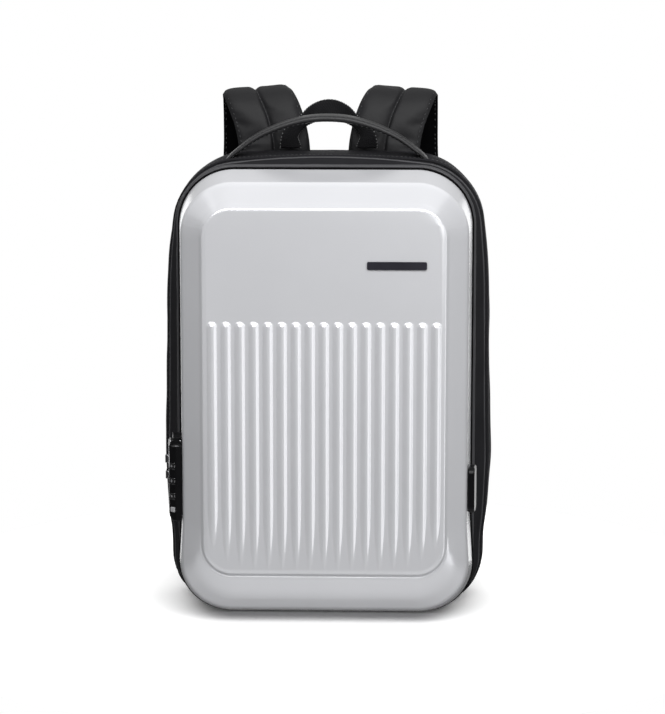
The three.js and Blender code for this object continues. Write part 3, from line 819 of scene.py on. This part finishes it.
def front_shell():
    """Hard front: a ribbed panel whose edge grows into the sloped border, wall, rim and inside."""
    reach = RIB_COUNT * RIB_CELLS // 2
    cells = [RIB_PITCH / RIB_CELLS * n for n in range(-reach, reach + 1)]
    columns = [x for x in cells if abs(x) < PANEL["half"] - PANEL_MARGIN]
    columns = [-PANEL["half"]] + columns + [PANEL["half"]]
    heights = [PANEL["bottom"]]
    for (low, _), (high, lines) in zip(PANEL_STOPS, PANEL_STOPS[1:]):
        heights += spaced(low, high, lines)[1:]
    bm = flat_panel(PANEL, columns, heights)
    for point in bm.verts:
        point.co.y -= rib_height(point.co.x / MM, point.co.z / MM) * MM
    fold_back(bm, softened(SHELL_ROWS)[1:])
    bmesh.ops.recalc_face_normals(bm, faces=bm.faces)
    even_shading(piece("shell", bm, silver_shell, stands_for=["front_shell"]))


front_shell()


# Cloth body

CLOTH_WALL = 2.2
FRONT_GUSSET_ROWS = [
    row(y=-53.2, half=137.6, top=432.4, bottom=3.4, corners=(51, 50)),
    row(y=-52.4, half=140.8, top=435.6, bottom=1.4, corners=(53, 51), bow=(0.03, 0.3), ease=0.6),
    row(y=-44, half=141.6, top=435.2, bottom=0.5, corners=(54, 51), bow=(0.15, 2), ease=3),
    row(y=-30, half=146.8, top=436.4, corners=(56.5, 49), bow=(0.45, 8), ease=5),
    row(y=-20, half=152.4, top=441.2, corners=(58.5, 48), bow=(0.7, 14), ease=2.2),
    row(y=-17.4, half=152.8, top=441.4, corners=(59, 48), bow=(0.72, 14), ease=1.2),
    row(y=-16, half=151.4, top=440.0, corners=(58, 47), bow=(0.74, 14)),
]
REAR_GUSSET_ROWS = [
    row(y=-7.8, half=153.8, top=440.0, corners=(59, 46), bow=(0.82, 9.5)),
    row(y=-5.6, half=156.0, top=442.0, corners=(60.5, 47), bow=(0.85, 8.5), ease=1.4),
    row(y=12, half=159.3, top=443.1, corners=(66, 47), bow=(1, 5), ease=8),
    row(y=32, half=158.8, top=443.1, corners=(67, 47), bow=(1, 5), ease=6),
    row(y=41.6, half=155.4, top=440.8, corners=(64.6, 46), bow=(0.96, 5)),
]
ZIP_TAPE_ROWS = [
    row(y=-17, half=151.4, top=438.8, corners=(58, 47.5), bow=(0.73, 13.5)),
    row(y=-6.8, half=153.8, top=439.8, corners=(60, 47), bow=(0.83, 9.5)),
]
ZIP_MIDDLE = row(y=-11.9, half=153.2, top=439.9, corners=(59.5, 47), bow=(0.78, 11.5))
# The coil's turns are counted by their run round a point at middle height, with finer steps than the cloth's
ZIP_COIL = {"radius": 2.1, "sides": 8, "pitch": 2.2, "depth": 0.45, "middle": 220.0, "finer": 14}
# Trim at the shell's rim, whose near-black tone also paints the shadow in the gap beside the rim
RIM_SHADOW_TRIM = row(y=-52.4, half=140.2, top=434.6, bottom=1.6, corners=(53, 52), foot=5.0)
FRONT_PIPING = row(y=-48.2, half=141.4, top=436.2, bottom=2.4, corners=(53.6, 51), bow=(0.07, 0.8))
# A thin cord along the ridge, whose pale cloth paints the ridge's highlight
RIDGE_HIGHLIGHT_PIPING = row(y=-17.4, half=152.6, top=441.5, bottom=1.2, corners=(59, 48), bow=(0.72, 14))
REAR_PIPING = row(y=-6.4, half=155.6, top=441.6, bottom=1.2, corners=(60.5, 47), bow=(0.85, 8.5))
BACK_PIPING = row(y=42, half=155.0, top=440.6, bottom=1.6, corners=(64.4, 46), bow=(0.96, 5))
PIPING_SIDES = 12
# Depth and size of the folds
SLACK = {"front": (0.55, 16.0), "rear": (1.1, 34.0), "piping": (0.25, 7.0)}
LENGTHWISE = (1.0, 0.55, 1.0)
# Two rows, the share of the way between them where a seam lies, and how far its thread stands out
BODY_SEAMS = (
    (FRONT_GUSSET_ROWS[1], FRONT_GUSSET_ROWS[2], 0.55, 0.2),
    (REAR_GUSSET_ROWS[1], REAR_GUSSET_ROWS[2], 0.22, 0.3),
)


def cloth_band(name, rows, node, slack):
    """One cloth band of the body, with the slack of sewn cloth."""
    bm = wrapped(wall(softened(rows), CLOTH_WALL))
    crumple(bm, *slack, LENGTHWISE)
    subdivide(piece(name, bm, body_cloth, stands_for=[node]))


def piping(name, here, radius, cover):
    """A covered cord sewn into a seam round the bag."""
    bm = wrapped(round_cord(here, radius, PIPING_SIDES))
    crumple(bm, *SLACK["piping"])
    piece(name, bm, cover)


def coil_depth(point):
    """How far the zip's coil stands out at a point: its turns are fine ridges."""
    x, z = point.co.x, point.co.z - ZIP_COIL["middle"] * MM
    along = math.hypot(x, z) * math.atan2(z, x)
    return math.sin(along / (ZIP_COIL["pitch"] * MM) * math.tau) * ZIP_COIL["depth"] / 2


def zip_band():
    """Zip tape with its coil."""
    tape = wrapped(wall(ZIP_TAPE_ROWS, CLOTH_WALL / 2))
    piece("zip_tape", tape, zip_tape, stands_for=["zip_band"])
    fine = [count * ZIP_COIL["finer"] for count in RING_STEPS]
    coil = wrapped(round_cord(ZIP_MIDDLE, ZIP_COIL["radius"], ZIP_COIL["sides"]), fine)
    push_out(coil, coil_depth)
    piece("zip_coil", coil, zip_coil_nylon)


def body_stitching():
    """Rows of stitches beside the seams of the body."""
    bm = bmesh.new()
    for first, last, share, proud in BODY_SEAMS:
        stitch_outline(bm, offset(mixed(first, last, share), proud))
    piece("body_stitching", bm, thread)


cloth_band("front_gusset_cloth", FRONT_GUSSET_ROWS, "front_gusset", SLACK["front"])
cloth_band("rear_gusset_cloth", REAR_GUSSET_ROWS, "rear_gusset", SLACK["rear"])
piping("rim_shadow_trim", RIM_SHADOW_TRIM, radius=1.3, cover=black_trim_painted_shade)
# Cords in the lighter piping cloth, whose tone paints the highlights along the front bead and the ridge
piping("front_piping", FRONT_PIPING, radius=2.3, cover=piping_cloth_painted_highlight)
piping("ridge_highlight_piping", RIDGE_HIGHLIGHT_PIPING, radius=1.1, cover=piping_cloth_painted_highlight)
piping("rear_piping", REAR_PIPING, radius=1.4, cover=body_cloth)
piping("back_piping", BACK_PIPING, radius=1.8, cover=body_cloth)
zip_band()
body_stitching()


# Padded back

BACK_EDGE = row(y=49.4, half=143, top=428.6, bottom=12, corners=(52, 35), bow=(0.94, 5))
BACK_ROWS = [
    BACK_EDGE,
    row(y=48.2, half=151, top=436.6, bottom=4, corners=(60, 43), bow=(0.94, 5), ease=4),
    row(y=42.5, half=153.8, top=439.4, bottom=1.2, corners=(62.8, 45), bow=(0.94, 5)),
]
BACK_CELL = 6.5
# The back is sewn down along its sides, in an upright channel and in level ones at these heights
SEWN_SIDE = 14.0
SEWN_UPRIGHT_HALF = 17.0
SEWN_LEVELS = (150.0, 290.0)
SEWN_LEVEL_HALF = 7.0
BACK_SWELL = {"pressure": 5.0, "cap": 4.4, "slack": 0.01}
# Points that lie further in than this from the back's flat face belong to its border
BACK_BORDER_DEPTH = 0.05


def held_back_points(made):
    """Points of the back that are sewn down: its border, its sides and the channels between its pads."""
    held = []
    for point in made.data.vertices:
        x, z = point.co.x / MM, point.co.z / MM
        border = point.co.y < (BACK_EDGE["y"] - BACK_BORDER_DEPTH) * MM
        sewn = abs(x) < SEWN_UPRIGHT_HALF or abs(x) > BACK_EDGE["half"] - SEWN_SIDE
        level = any(abs(z - line) < SEWN_LEVEL_HALF for line in SEWN_LEVELS)
        if border or sewn or level:
            held.append(point.index)
    return held


def back_panel():
    """Padded back of spacer mesh, in pads between sewn channels."""
    half, low, high = BACK_EDGE["half"], BACK_EDGE["bottom"], BACK_EDGE["top"]
    columns = spaced(-half, half, round(2 * half / BACK_CELL))
    heights = spaced(low, high, round((high - low) / BACK_CELL))
    bm = flat_panel(BACK_EDGE, columns, heights)
    bmesh.ops.reverse_faces(bm, faces=[face for face in bm.faces if face.normal.y < 0])
    lining = fold_back(bm, softened(BACK_ROWS)[1:])
    bmesh.ops.triangulate(bm, faces=lining)
    bmesh.ops.recalc_face_normals(bm, faces=bm.faces)
    made = piece("back_padding", bm, back_mesh, stands_for=["back_panel"])
    swell(made, held_back_points(made), **BACK_SWELL)
    subdivide(made)


back_panel()


# Shoulder straps

SIDES = (("left", -1), ("right", 1))
STRAP_ROWS = [
    station(-54, 59.6, 398, width=72, thick=10, dip=0.3),
    station(-54, 60.2, 424, width=72, thick=11, dip=0.45),
    station(-55, 62.5, 448, width=71, thick=12, dip=0.6),
    station(-61, 67.6, 472, width=69, thick=12.6, dip=0.6, twist=-2),
    station(-69, 76.6, 488, width=66.5, thick=13, dip=0.5, twist=-3.5),
    station(-74.5, 90, 494, width=65.5, thick=13, dip=0.5, twist=-3.5),
    station(-75.6, 102, 486, width=64.5, thick=13, dip=0.6, twist=-2),
    station(-76, 109, 466, width=64, thick=13, dip=0.66),
    station(-77, 111, 430, width=63, thick=12.6, dip=0.66),
    station(-82, 107, 370, width=60, thick=12.6, dip=0.66),
    station(-88, 98, 305, width=55, thick=12, dip=0.6),
    station(-95, 88, 245, width=47, thick=10.6, dip=0.45),
    station(-100, 81, 205, width=33, thick=6.6, dip=0.2),
    station(-101.5, 79, 192, width=28, thick=3.4),
]
STRAP_STEPS = 8
STRAP_COLUMNS = mirrored_columns(0, 0.035, 0.08, 0.16, 0.3, 0.46, 0.62, 0.76, 0.86, 0.92, 0.96, 1)
STRAP_PAD = {"across": 0.955, "squareness": 6, "fill": 0.9}
STRAP_EDGE_HALF = 0.9
STRAP_SEAM_HALF = 0.06
STRAP_SWELL = {"pressure": 4.0, "cap": 3.0, "slack": 0.02}
# The swelling leaves the strap's middle line and its edges as they are, by their places across it
HELD_MIDDLE = 0.05
HELD_EDGE = 0.93
# Seams across the strap, how far their thread stands out, and the stations at its end without any
STRAP_SEAMS = (0.0, -0.9, 0.9)
STRAP_THREAD = 0.1
STRAP_BARE_END = 6
# The first half of the section's points lie on the side that faces the wearer
LINING_SHARE = 0.5


def strap_rise(here, across):
    """Half thickness of a strap at a place across it: two padded channels between flat sewn edges."""
    pad = cushion(across / STRAP_PAD["across"], STRAP_PAD["squareness"])
    sewn = here["dip"] * math.exp(-((across / STRAP_SEAM_HALF) ** 2))
    thin = min(STRAP_EDGE_HALF, here["thick"] / 2)
    return max(thin, STRAP_PAD["fill"] * here["thick"] / 2 * pad * (1 - sewn))


def strap_section(here, across, face):
    """Place across and out of a point of a strap's section."""
    out = 0.0 if abs(across) == 1 else face * strap_rise(here, across)
    return across * here["width"] / 2, out


def shoulder_strap(word, side):
    """Padded strap in two sewn channels, its lining on the wearer's side darker by painted shade."""
    stations = frames_along(sided(curved(STRAP_ROWS, STRAP_STEPS), side), ALONG_X)
    bm = band(stations, STRAP_COLUMNS, strap_section)
    made = piece(f"strap_{word}", bm, strap_cloth, stands_for=[f"shoulder_strap_{word}"])
    share = made.data.attributes["share"].data
    held = []
    for point in made.data.vertices:
        across, _ = over_and_back(share[point.index].value, STRAP_COLUMNS)
        if not HELD_MIDDLE <= abs(across) <= HELD_EDGE:
            held.append(point.index)
    # The side that faces the wearer gets the lining, whose darker tone is painted shade
    made.data.materials.append(strap_lining_painted_shade)
    for face in made.data.polygons:
        face.material_index = int(max(share[corner].value for corner in face.vertices) <= LINING_SHARE)
    swell(made, held, **STRAP_SWELL)
    subdivide(made)
    return stations


def strap_stitching(stations_of_straps):
    """Stitches in the middle line and beside the edges of both straps."""
    bm = bmesh.new()
    for stations in stations_of_straps:
        sewn = stations[:-STRAP_BARE_END]
        for face in (-1, 1):
            for seam in STRAP_SEAMS:
                stitch_band(bm, sewn, seam, lambda here: face * (strap_rise(here, seam) + STRAP_THREAD))
    piece("strap_stitching", bm, thread)


strap_stitching([shoulder_strap(word, side) for word, side in SIDES])


# Strap ends: webbing, its free tails and the tabs that anchor it

WEBBING_WIDTH = 25
WEBBING_THICK = 1.8


def webbing_station(x, y, z, thick=WEBBING_THICK):
    """One station of the webbing."""
    return station(x, y, z, WEBBING_WIDTH, thick)


WEBBING_ROWS = [
    webbing_station(*middle)
    for middle in (
        (-103.4, 80.3, 176), (-104.0, 78.6, 170), (-105.4, 74.2, 160), (-108, 71.2, 135),
        (-113.5, 65.6, 95), (-119, 58.4, 54), (-121, 55.6, 36),
    )
]
TAIL_ROWS = [
    webbing_station(-102.6, 81.6, 180),
    webbing_station(-104.2, 82.4, 168),
    webbing_station(-106.2, 80.4, 146),
    webbing_station(-108.4, 78.6, 112),
    webbing_station(-109.6, 77.2, 98, thick=3.6),
]
WEBBING_STEPS = 10
WEBBING_COLUMNS = mirrored_columns(0, 0.2, 0.4, 0.6, 0.8, 0.93, 1)
# Where across the webbing its edge begins, and the share of the thickness that is left there
WEBBING_EDGE = 0.9
WEBBING_EDGE_SHARE = 0.75
ANCHOR = {"size": (42.0, 3.4, 34.0), "middle": (119.6, 53.4, 44.0), "corner": 9.0, "rim": 1.2}
# Turn in radians past which two faces of the tab meet in its rim
RIM_TURN = 1.0


def flat_section(here, across, face):
    """Section of webbing: flat faces and round edges."""
    rise = here["thick"] / 2 * (1.0 if abs(across) < WEBBING_EDGE else WEBBING_EDGE_SHARE)
    return across * here["width"] / 2, 0.0 if abs(across) == 1 else face * rise


def webbing(name, rows, side, stands_for):
    """One length of webbing."""
    stations = frames_along(sided(curved(rows, WEBBING_STEPS), side), ALONG_X)
    bm = band(stations, WEBBING_COLUMNS, flat_section)
    subdivide(piece(name, bm, webbing_cloth, stands_for=stands_for))


def anchor_tab(word, side):
    """Sewn tab that holds the webbing at the back's lower corner."""
    bm = box(ANCHOR["size"])
    corners = [edge for edge in bm.edges if abs((edge.verts[0].co - edge.verts[1].co).y) > TINY]
    round_off(bm, corners, ANCHOR["corner"], segments=5)
    rim = [edge for edge in bm.edges if edge.calc_face_angle(0.0) > RIM_TURN]
    round_off(bm, rim, ANCHOR["rim"], segments=3)
    x, y, z = ANCHOR["middle"]
    bmesh.ops.translate(bm, vec=Vector((side * x, y, z)) * MM, verts=bm.verts)
    even_shading(piece(f"webbing_anchor_{word}", bm, body_cloth))


for word, side in SIDES:
    webbing(f"webbing_{word}", WEBBING_ROWS, side, [f"strap_webbing_{word}"])
    webbing(f"webbing_tail_{word}", TAIL_ROWS, side, [])
    anchor_tab(word, side)


# Carry handle and haul loop

HANDLE_Y = 4.0
HANDLE_ROWS = [
    station(0, HANDLE_Y, 477.8, width=25, thick=7),
    station(22, HANDLE_Y, 476, width=25, thick=7),
    station(46, HANDLE_Y, 469.4, width=25, thick=6.6),
    station(68, HANDLE_Y, 459.4, width=24, thick=6),
    station(85, HANDLE_Y, 447.4, width=23, thick=5),
    station(92, HANDLE_Y, 442.0, width=22, thick=4),
    station(97.5, HANDLE_Y, 436.4, width=21, thick=3.4),
]
HANDLE_STEPS = 10
HANDLE_COLUMNS = mirrored_columns(0, 0.25, 0.5, 0.7, 0.84, 0.93, 0.98, 1)
HANDLE_SQUARENESS = 5
# Place of the seams across the handle, and their share of its thickness
HANDLE_SEAM = 0.84
HANDLE_SEAM_RISE = 0.39
LOOP_ROWS = [
    station(0, 60, 481, width=18.5, thick=2.6, twist=14),
    station(14, 58.5, 477.2, width=17, thick=2.6, twist=30),
    station(27.5, 53, 468, width=14, thick=2.6, twist=56),
    station(37.5, 46, 457, width=16, thick=2.6, twist=26),
    station(37.6, 41.5, 444.6, width=20, thick=2.6),
]
LOOP_STEPS = 34
LOOP_STITCH = {"start": 0.0, "pitch": 2.2, "length": 1.95, "width": 1.5}
LOOP_TOOTH_DEPTH = 0.5


def handle_section(here, across, face):
    """Section of the handle: a padded band with rolled edges."""
    rise = here["thick"] / 2 * cushion(across, HANDLE_SQUARENESS)
    return across * here["width"] / 2, face * rise


def loop_section(here, across, face):
    """Section of the haul loop: webbing whose edges show the turns of its stitches."""
    sideways, out = flat_section(here, across, face)
    tooth = LOOP_TOOTH_DEPTH * math.sin(math.tau * here["run"] / LOOP_STITCH["pitch"])
    edge = max(0.0, abs(across) - WEBBING_EDGE) / (1 - WEBBING_EDGE)
    return sideways + math.copysign(tooth * edge, across), out


def carry_handle():
    """Arched, padded handle with stitched edges."""
    stations = frames_along(curved(whole_arch(HANDLE_ROWS), HANDLE_STEPS), ALONG_Y)
    bm = band(stations, HANDLE_COLUMNS, handle_section)
    made = piece("handle", bm, handle_cloth, stands_for=["carry_handle"])
    subdivide(made)
    seams = bmesh.new()
    for seam in (-HANDLE_SEAM, HANDLE_SEAM):
        for face in (-1, 1):
            stitch_band(seams, stations, seam, lambda here: face * here["thick"] * HANDLE_SEAM_RISE)
    piece("handle_stitching", seams, thread)


def haul_loop():
    """Loop of webbing behind the handle, with stitches over its edges whose pale tone also paints the
    highlight of the lit edge.
    """
    stations = frames_along(curved(whole_arch(LOOP_ROWS), LOOP_STEPS), ALONG_X, carried=True)
    bm = band(stations, WEBBING_COLUMNS, loop_section)
    piece("haul_loop_webbing", bm, webbing_cloth, stands_for=["haul_loop"])
    seams = bmesh.new()
    for edge in (-1, 1):
        stitch_band(seams, stations, edge, lambda here: 0.0, LOOP_STITCH)
    piece("haul_loop_edging", seams, edge_thread_and_highlight)


carry_handle()
haul_loop()


# Lock, zip sliders, port, badge and strap adjusters

# Solids that keep their own shape: finish, width of the rounded edges, steps across them and names
DRESSED_SOLIDS = (
    (lock_plastic, 0.5, 3, ("lock_housing", "side_port")),
    (dial_metal, 0.4, 3, ("lock_dial_1", "lock_dial_2", "lock_dial_3")),
    (pale_mark, 0.4, 3, ("lock_button",)),
    (slider_metal, 1.6, 4, ("zip_slider_upper", "zip_slider_lower")),
    (dark_metal, 0.4, 3, ("badge_bar",)),
    (buckle_plastic, 0.9, 3, ("strap_adjuster_left", "strap_adjuster_right")),
)
# The lock's own frame: x runs outward as negative, y from its front back, z up from its middle
LOCK_MIDDLE = (-136.6025, -93.0, 136.0)
LOCK_TURN = 5.852
LOCK_PLACE = Matrix.Translation(Vector(LOCK_MIDDLE) * MM) @ Matrix.Rotation(math.radians(LOCK_TURN), 4, "Z")
# Rods that paint highlights along the lock's edges: both ends and the radius
LOCK_EDGE_HIGHLIGHTS = (
    ((-11.9, 6.4, -30.0), (-11.9, 6.4, 36.4), 0.5),
    ((-9.4, 0.35, 36.7), (-1.0, 0.35, 36.7), 0.6),
)
EDGE_SIDES = 10
LOCK_CAP = {"size": (10.6, 12.0, 6.0), "middle": (-5.9, 11.5, 39.0), "round": 1.0}
# Bright metal studs at the cap's corners, which paint its glints
LOCK_GLINT_PINS = ((-10.6, 6.0, 40.4), (-1.2, 5.6, 40.6))
PIN_RADIUS = 1.15
DIALS = {"x": -6.1, "y": 7.1, "heights": (16.6, 1.8, -13.0), "radius": 5.3}
DIGIT = {"count": 10, "height": 3.4, "proud": 0.1, "facing": 225.0}


def add_rod(bm, first, last, radius):
    """A thin round rod between two points of the lock's frame."""
    first, last = Vector(first) * MM, Vector(last) * MM
    run = last - first
    turn = run.to_track_quat("Z", "Y").to_matrix().to_4x4()
    place = LOCK_PLACE @ Matrix.Translation((first + last) / 2) @ turn
    size = {"radius1": radius * MM, "radius2": radius * MM, "depth": run.length}
    bmesh.ops.create_cone(bm, cap_ends=True, segments=EDGE_SIDES, matrix=place, **size)


def lock_trim():
    """Rods that paint highlights along the lock's edges, the cap on its top, and two bright studs that paint
    glints on the cap.
    """
    edges = bmesh.new()
    for first, last, radius in LOCK_EDGE_HIGHLIGHTS:
        add_rod(edges, first, last, radius)
    piece("lock_edge_highlights", edges, dial_metal)
    cap = box(LOCK_CAP["size"])
    round_off(cap, cap.edges[:], LOCK_CAP["round"], segments=3)
    cap.transform(LOCK_PLACE @ Matrix.Translation(Vector(LOCK_CAP["middle"]) * MM))
    even_shading(piece("lock_cap", cap, lock_plastic))
    glint_pins = bmesh.new()
    for glint_pin in LOCK_GLINT_PINS:
        place = LOCK_PLACE @ Matrix.Translation(Vector(glint_pin) * MM)
        bmesh.ops.create_icosphere(glint_pins, subdivisions=3, radius=PIN_RADIUS * MM, matrix=place)
    piece("lock_glint_pins", glint_pins, slider_metal)


def add_digit(bm, digit, place):
    """One plain numeral as a thin mesh."""
    curve = bpy.data.curves.new("digit", "FONT")
    curve.body = str(digit)
    curve.size = DIGIT["height"] * MM
    curve.extrude = DIGIT["proud"] * MM
    curve.align_x = "CENTER"
    curve.align_y = "CENTER"
    holder = bpy.data.objects.new("digit", curve)
    mesh = bpy.data.meshes.new_from_object(holder)
    mesh.transform(place)
    bm.from_mesh(mesh)
    bpy.data.meshes.remove(mesh)
    bpy.data.objects.remove(holder)
    bpy.data.curves.remove(curve)


def dial_numbers(number, height):
    """Numerals round one dial, which turn with it."""
    bm = bmesh.new()
    for digit in range(DIGIT["count"]):
        turn = math.radians(DIGIT["facing"] + 360 * digit / DIGIT["count"])
        out = Vector((math.cos(turn), math.sin(turn), 0.0))
        along = Vector((-math.sin(turn), math.cos(turn), 0.0))
        facing = Matrix((along, (0, 0, 1), out)).transposed().to_4x4()
        middle = Vector((DIALS["x"], DIALS["y"], height)) + out * DIALS["radius"]
        add_digit(bm, digit, LOCK_PLACE @ Matrix.Translation(middle * MM) @ facing)
    piece(f"dial_{number}_numbers", bm, pale_mark, body=f"dial_{number}", smooth=False)


for cover, width, steps, names in DRESSED_SOLIDS:
    for name in names:
        dress(name, cover, width, steps)
lock_trim()
for number, height in enumerate(DIALS["heights"], start=1):
    dial_numbers(number, height)


# Stage, light and camera

CAMERA = {"aim": (0.0, -30.0, 240.0), "distance": 2800.0, "elevation": 10.5, "azimuth": 1.7}
LENS = {"lens": 145.41, "sensor_width": 36.0, "shift_x": 0.0083, "shift_y": 0.0122}
WHITE = (1.0, 1.0, 1.0, 1.0)
# The floor's size in metres, and the reach over which its painted glow and the light that it throws back
# change from near the bag to far
FLOOR = {"radius": 0.44, "sides": 96, "drop": 0.0005, "roughness": 0.9, "gloss": 0.1}
FLOOR_REACH = (0.13, 0.28)
FLOOR_THROWN = (0.4, 0.12)
# Painted glow that only the camera sees: faint near the bag, so that its shadow shows, and strong farther
# out, so that the floor looks white
FLOOR_GLOW = (0.04, 0.6)
FLOOR_SEEN = 1.0
# Softboxes: where each stands, what it faces, its width and height, all in metres, and its power in watts
SOFTBOXES = {
    "top": ((0.0, 0.4, 2.4), (0.0, 0.4, 0.0), (4.0, 3.6), 25.0),
    "front": ((0.25, -2.0, 1.85), (0.0, 0.0, 0.35), (3.4, 1.6), 103.0),
    "right": ((2.1, -1.6, 0.0), (0.0, -0.1, 0.2), (1.1, 2.2), 12.0),
    "left": ((-2.3, -1.4, 0.0), (0.0, -0.1, 0.2), (0.7, 2.2), 1.0),
    "low": ((0.75, -2.7, 0.35), (0.0, -0.1, 0.3), (0.9, 0.6), 4.0),
    "back": ((0.0, 2.7, 0.0), (0.0, 0.0, 0.25), (2.6, 1.3), 16.0),
    "corner": ((-2.2, -0.3, 2.0), (0.0, -0.1, 0.4), (1.7, 1.7), 3.0),
}
# The surround's strength as it is seen, in front and below the front, and under and above the horizon behind
SKY = {"seen": 1.0, "front": 0.05, "floor": 0.65, "under": 0.15, "behind": 0.55}
# Directions over which it changes: from front to back, from under to above the horizon, and down to the floor
SKY_DEPTH = (-0.2, 0.6)
SKY_RISE = (-0.15, 0.15)
SKY_DIP = (-0.5, -0.28)


def set_up(name, data, at, way):
    """Stands a camera or a light at a place, looking along a way."""
    made = bpy.data.objects.new(name, data)
    made.location = at
    made.rotation_mode = "QUATERNION"
    made.rotation_quaternion = way.to_track_quat("-Z", "Y")
    bpy.context.scene.collection.objects.link(made)
    return made


def camera():
    """Camera at the photograph's angle."""
    data = bpy.data.cameras.new("camera")
    for key, value in LENS.items():
        setattr(data, key, value)
    turn, rise = math.radians(CAMERA["azimuth"]), math.radians(CAMERA["elevation"])
    back = Vector((math.sin(turn) * math.cos(rise), -math.cos(turn) * math.cos(rise), math.sin(rise)))
    at = (Vector(CAMERA["aim"]) + back * CAMERA["distance"]) * MM
    bpy.context.scene.camera = set_up("camera", data, at, -back)


def floor():
    """Pale floor with a painted glow that only the camera sees, so that it looks brighter than the light that
    it throws back.
    """
    bm = bmesh.new()
    bmesh.ops.create_circle(bm, cap_ends=True, segments=FLOOR["sides"], radius=FLOOR["radius"])
    pale, tree, sockets = new_material("pale_floor")
    seen = add(tree, "ShaderNodeLightPath").outputs["Is Camera Ray"]
    place = add(tree, "ShaderNodeTexCoord").outputs["Object"]
    reach = add(tree, "ShaderNodeVectorMath", {0: place}, operation="LENGTH").outputs["Value"]
    thrown = spread(tree, reach, FLOOR_THROWN, FLOOR_REACH)
    glow = spread(tree, reach, FLOOR_GLOW, FLOOR_REACH)
    tree.links.new(spread(tree, seen, (thrown, FLOOR_SEEN)), sockets["Base Color"])
    tree.links.new(maths(tree, "MULTIPLY", seen, glow), sockets["Emission Strength"])
    sockets["Emission Color"].default_value = WHITE
    sockets["Roughness"].default_value = FLOOR["roughness"]
    sockets["Specular IOR Level"].default_value = FLOOR["gloss"]
    made = mesh_object("floor", bm, pale, smooth=False)
    made.location.z = -FLOOR["drop"]
    made.visible_glossy = False


def softboxes():
    """Soft studio light."""
    for name, (at, to, size, power) in SOFTBOXES.items():
        data = bpy.data.lights.new(name, "AREA")
        data.shape = "RECTANGLE"
        data.size, data.size_y = size
        data.energy = power
        set_up(name, data, at, Vector(to) - Vector(at))


def surround():
    """A pale surround that is brighter to look at than it shines."""
    world = bpy.data.worlds.new("surround")
    world.use_nodes = True
    tree = world.node_tree
    seen = add(tree, "ShaderNodeLightPath").outputs["Is Camera Ray"]
    facing = add(tree, "ShaderNodeTexCoord").outputs["Generated"]
    axes = add(tree, "ShaderNodeSeparateXYZ", {0: facing}).outputs
    behind = spread(tree, axes["Z"], (SKY["under"], SKY["behind"]), SKY_RISE)
    before = spread(tree, axes["Z"], (SKY["floor"], SKY["front"]), SKY_DIP)
    lit = spread(tree, axes["Y"], (before, behind), SKY_DEPTH)
    sockets = tree.nodes["Background"].inputs
    sockets["Color"].default_value = WHITE
    tree.links.new(spread(tree, seen, (lit, SKY["seen"])), sockets["Strength"])
    bpy.context.scene.world = world
    bpy.context.scene.view_settings.view_transform = "Standard"


camera()
floor()
softboxes()
surround()
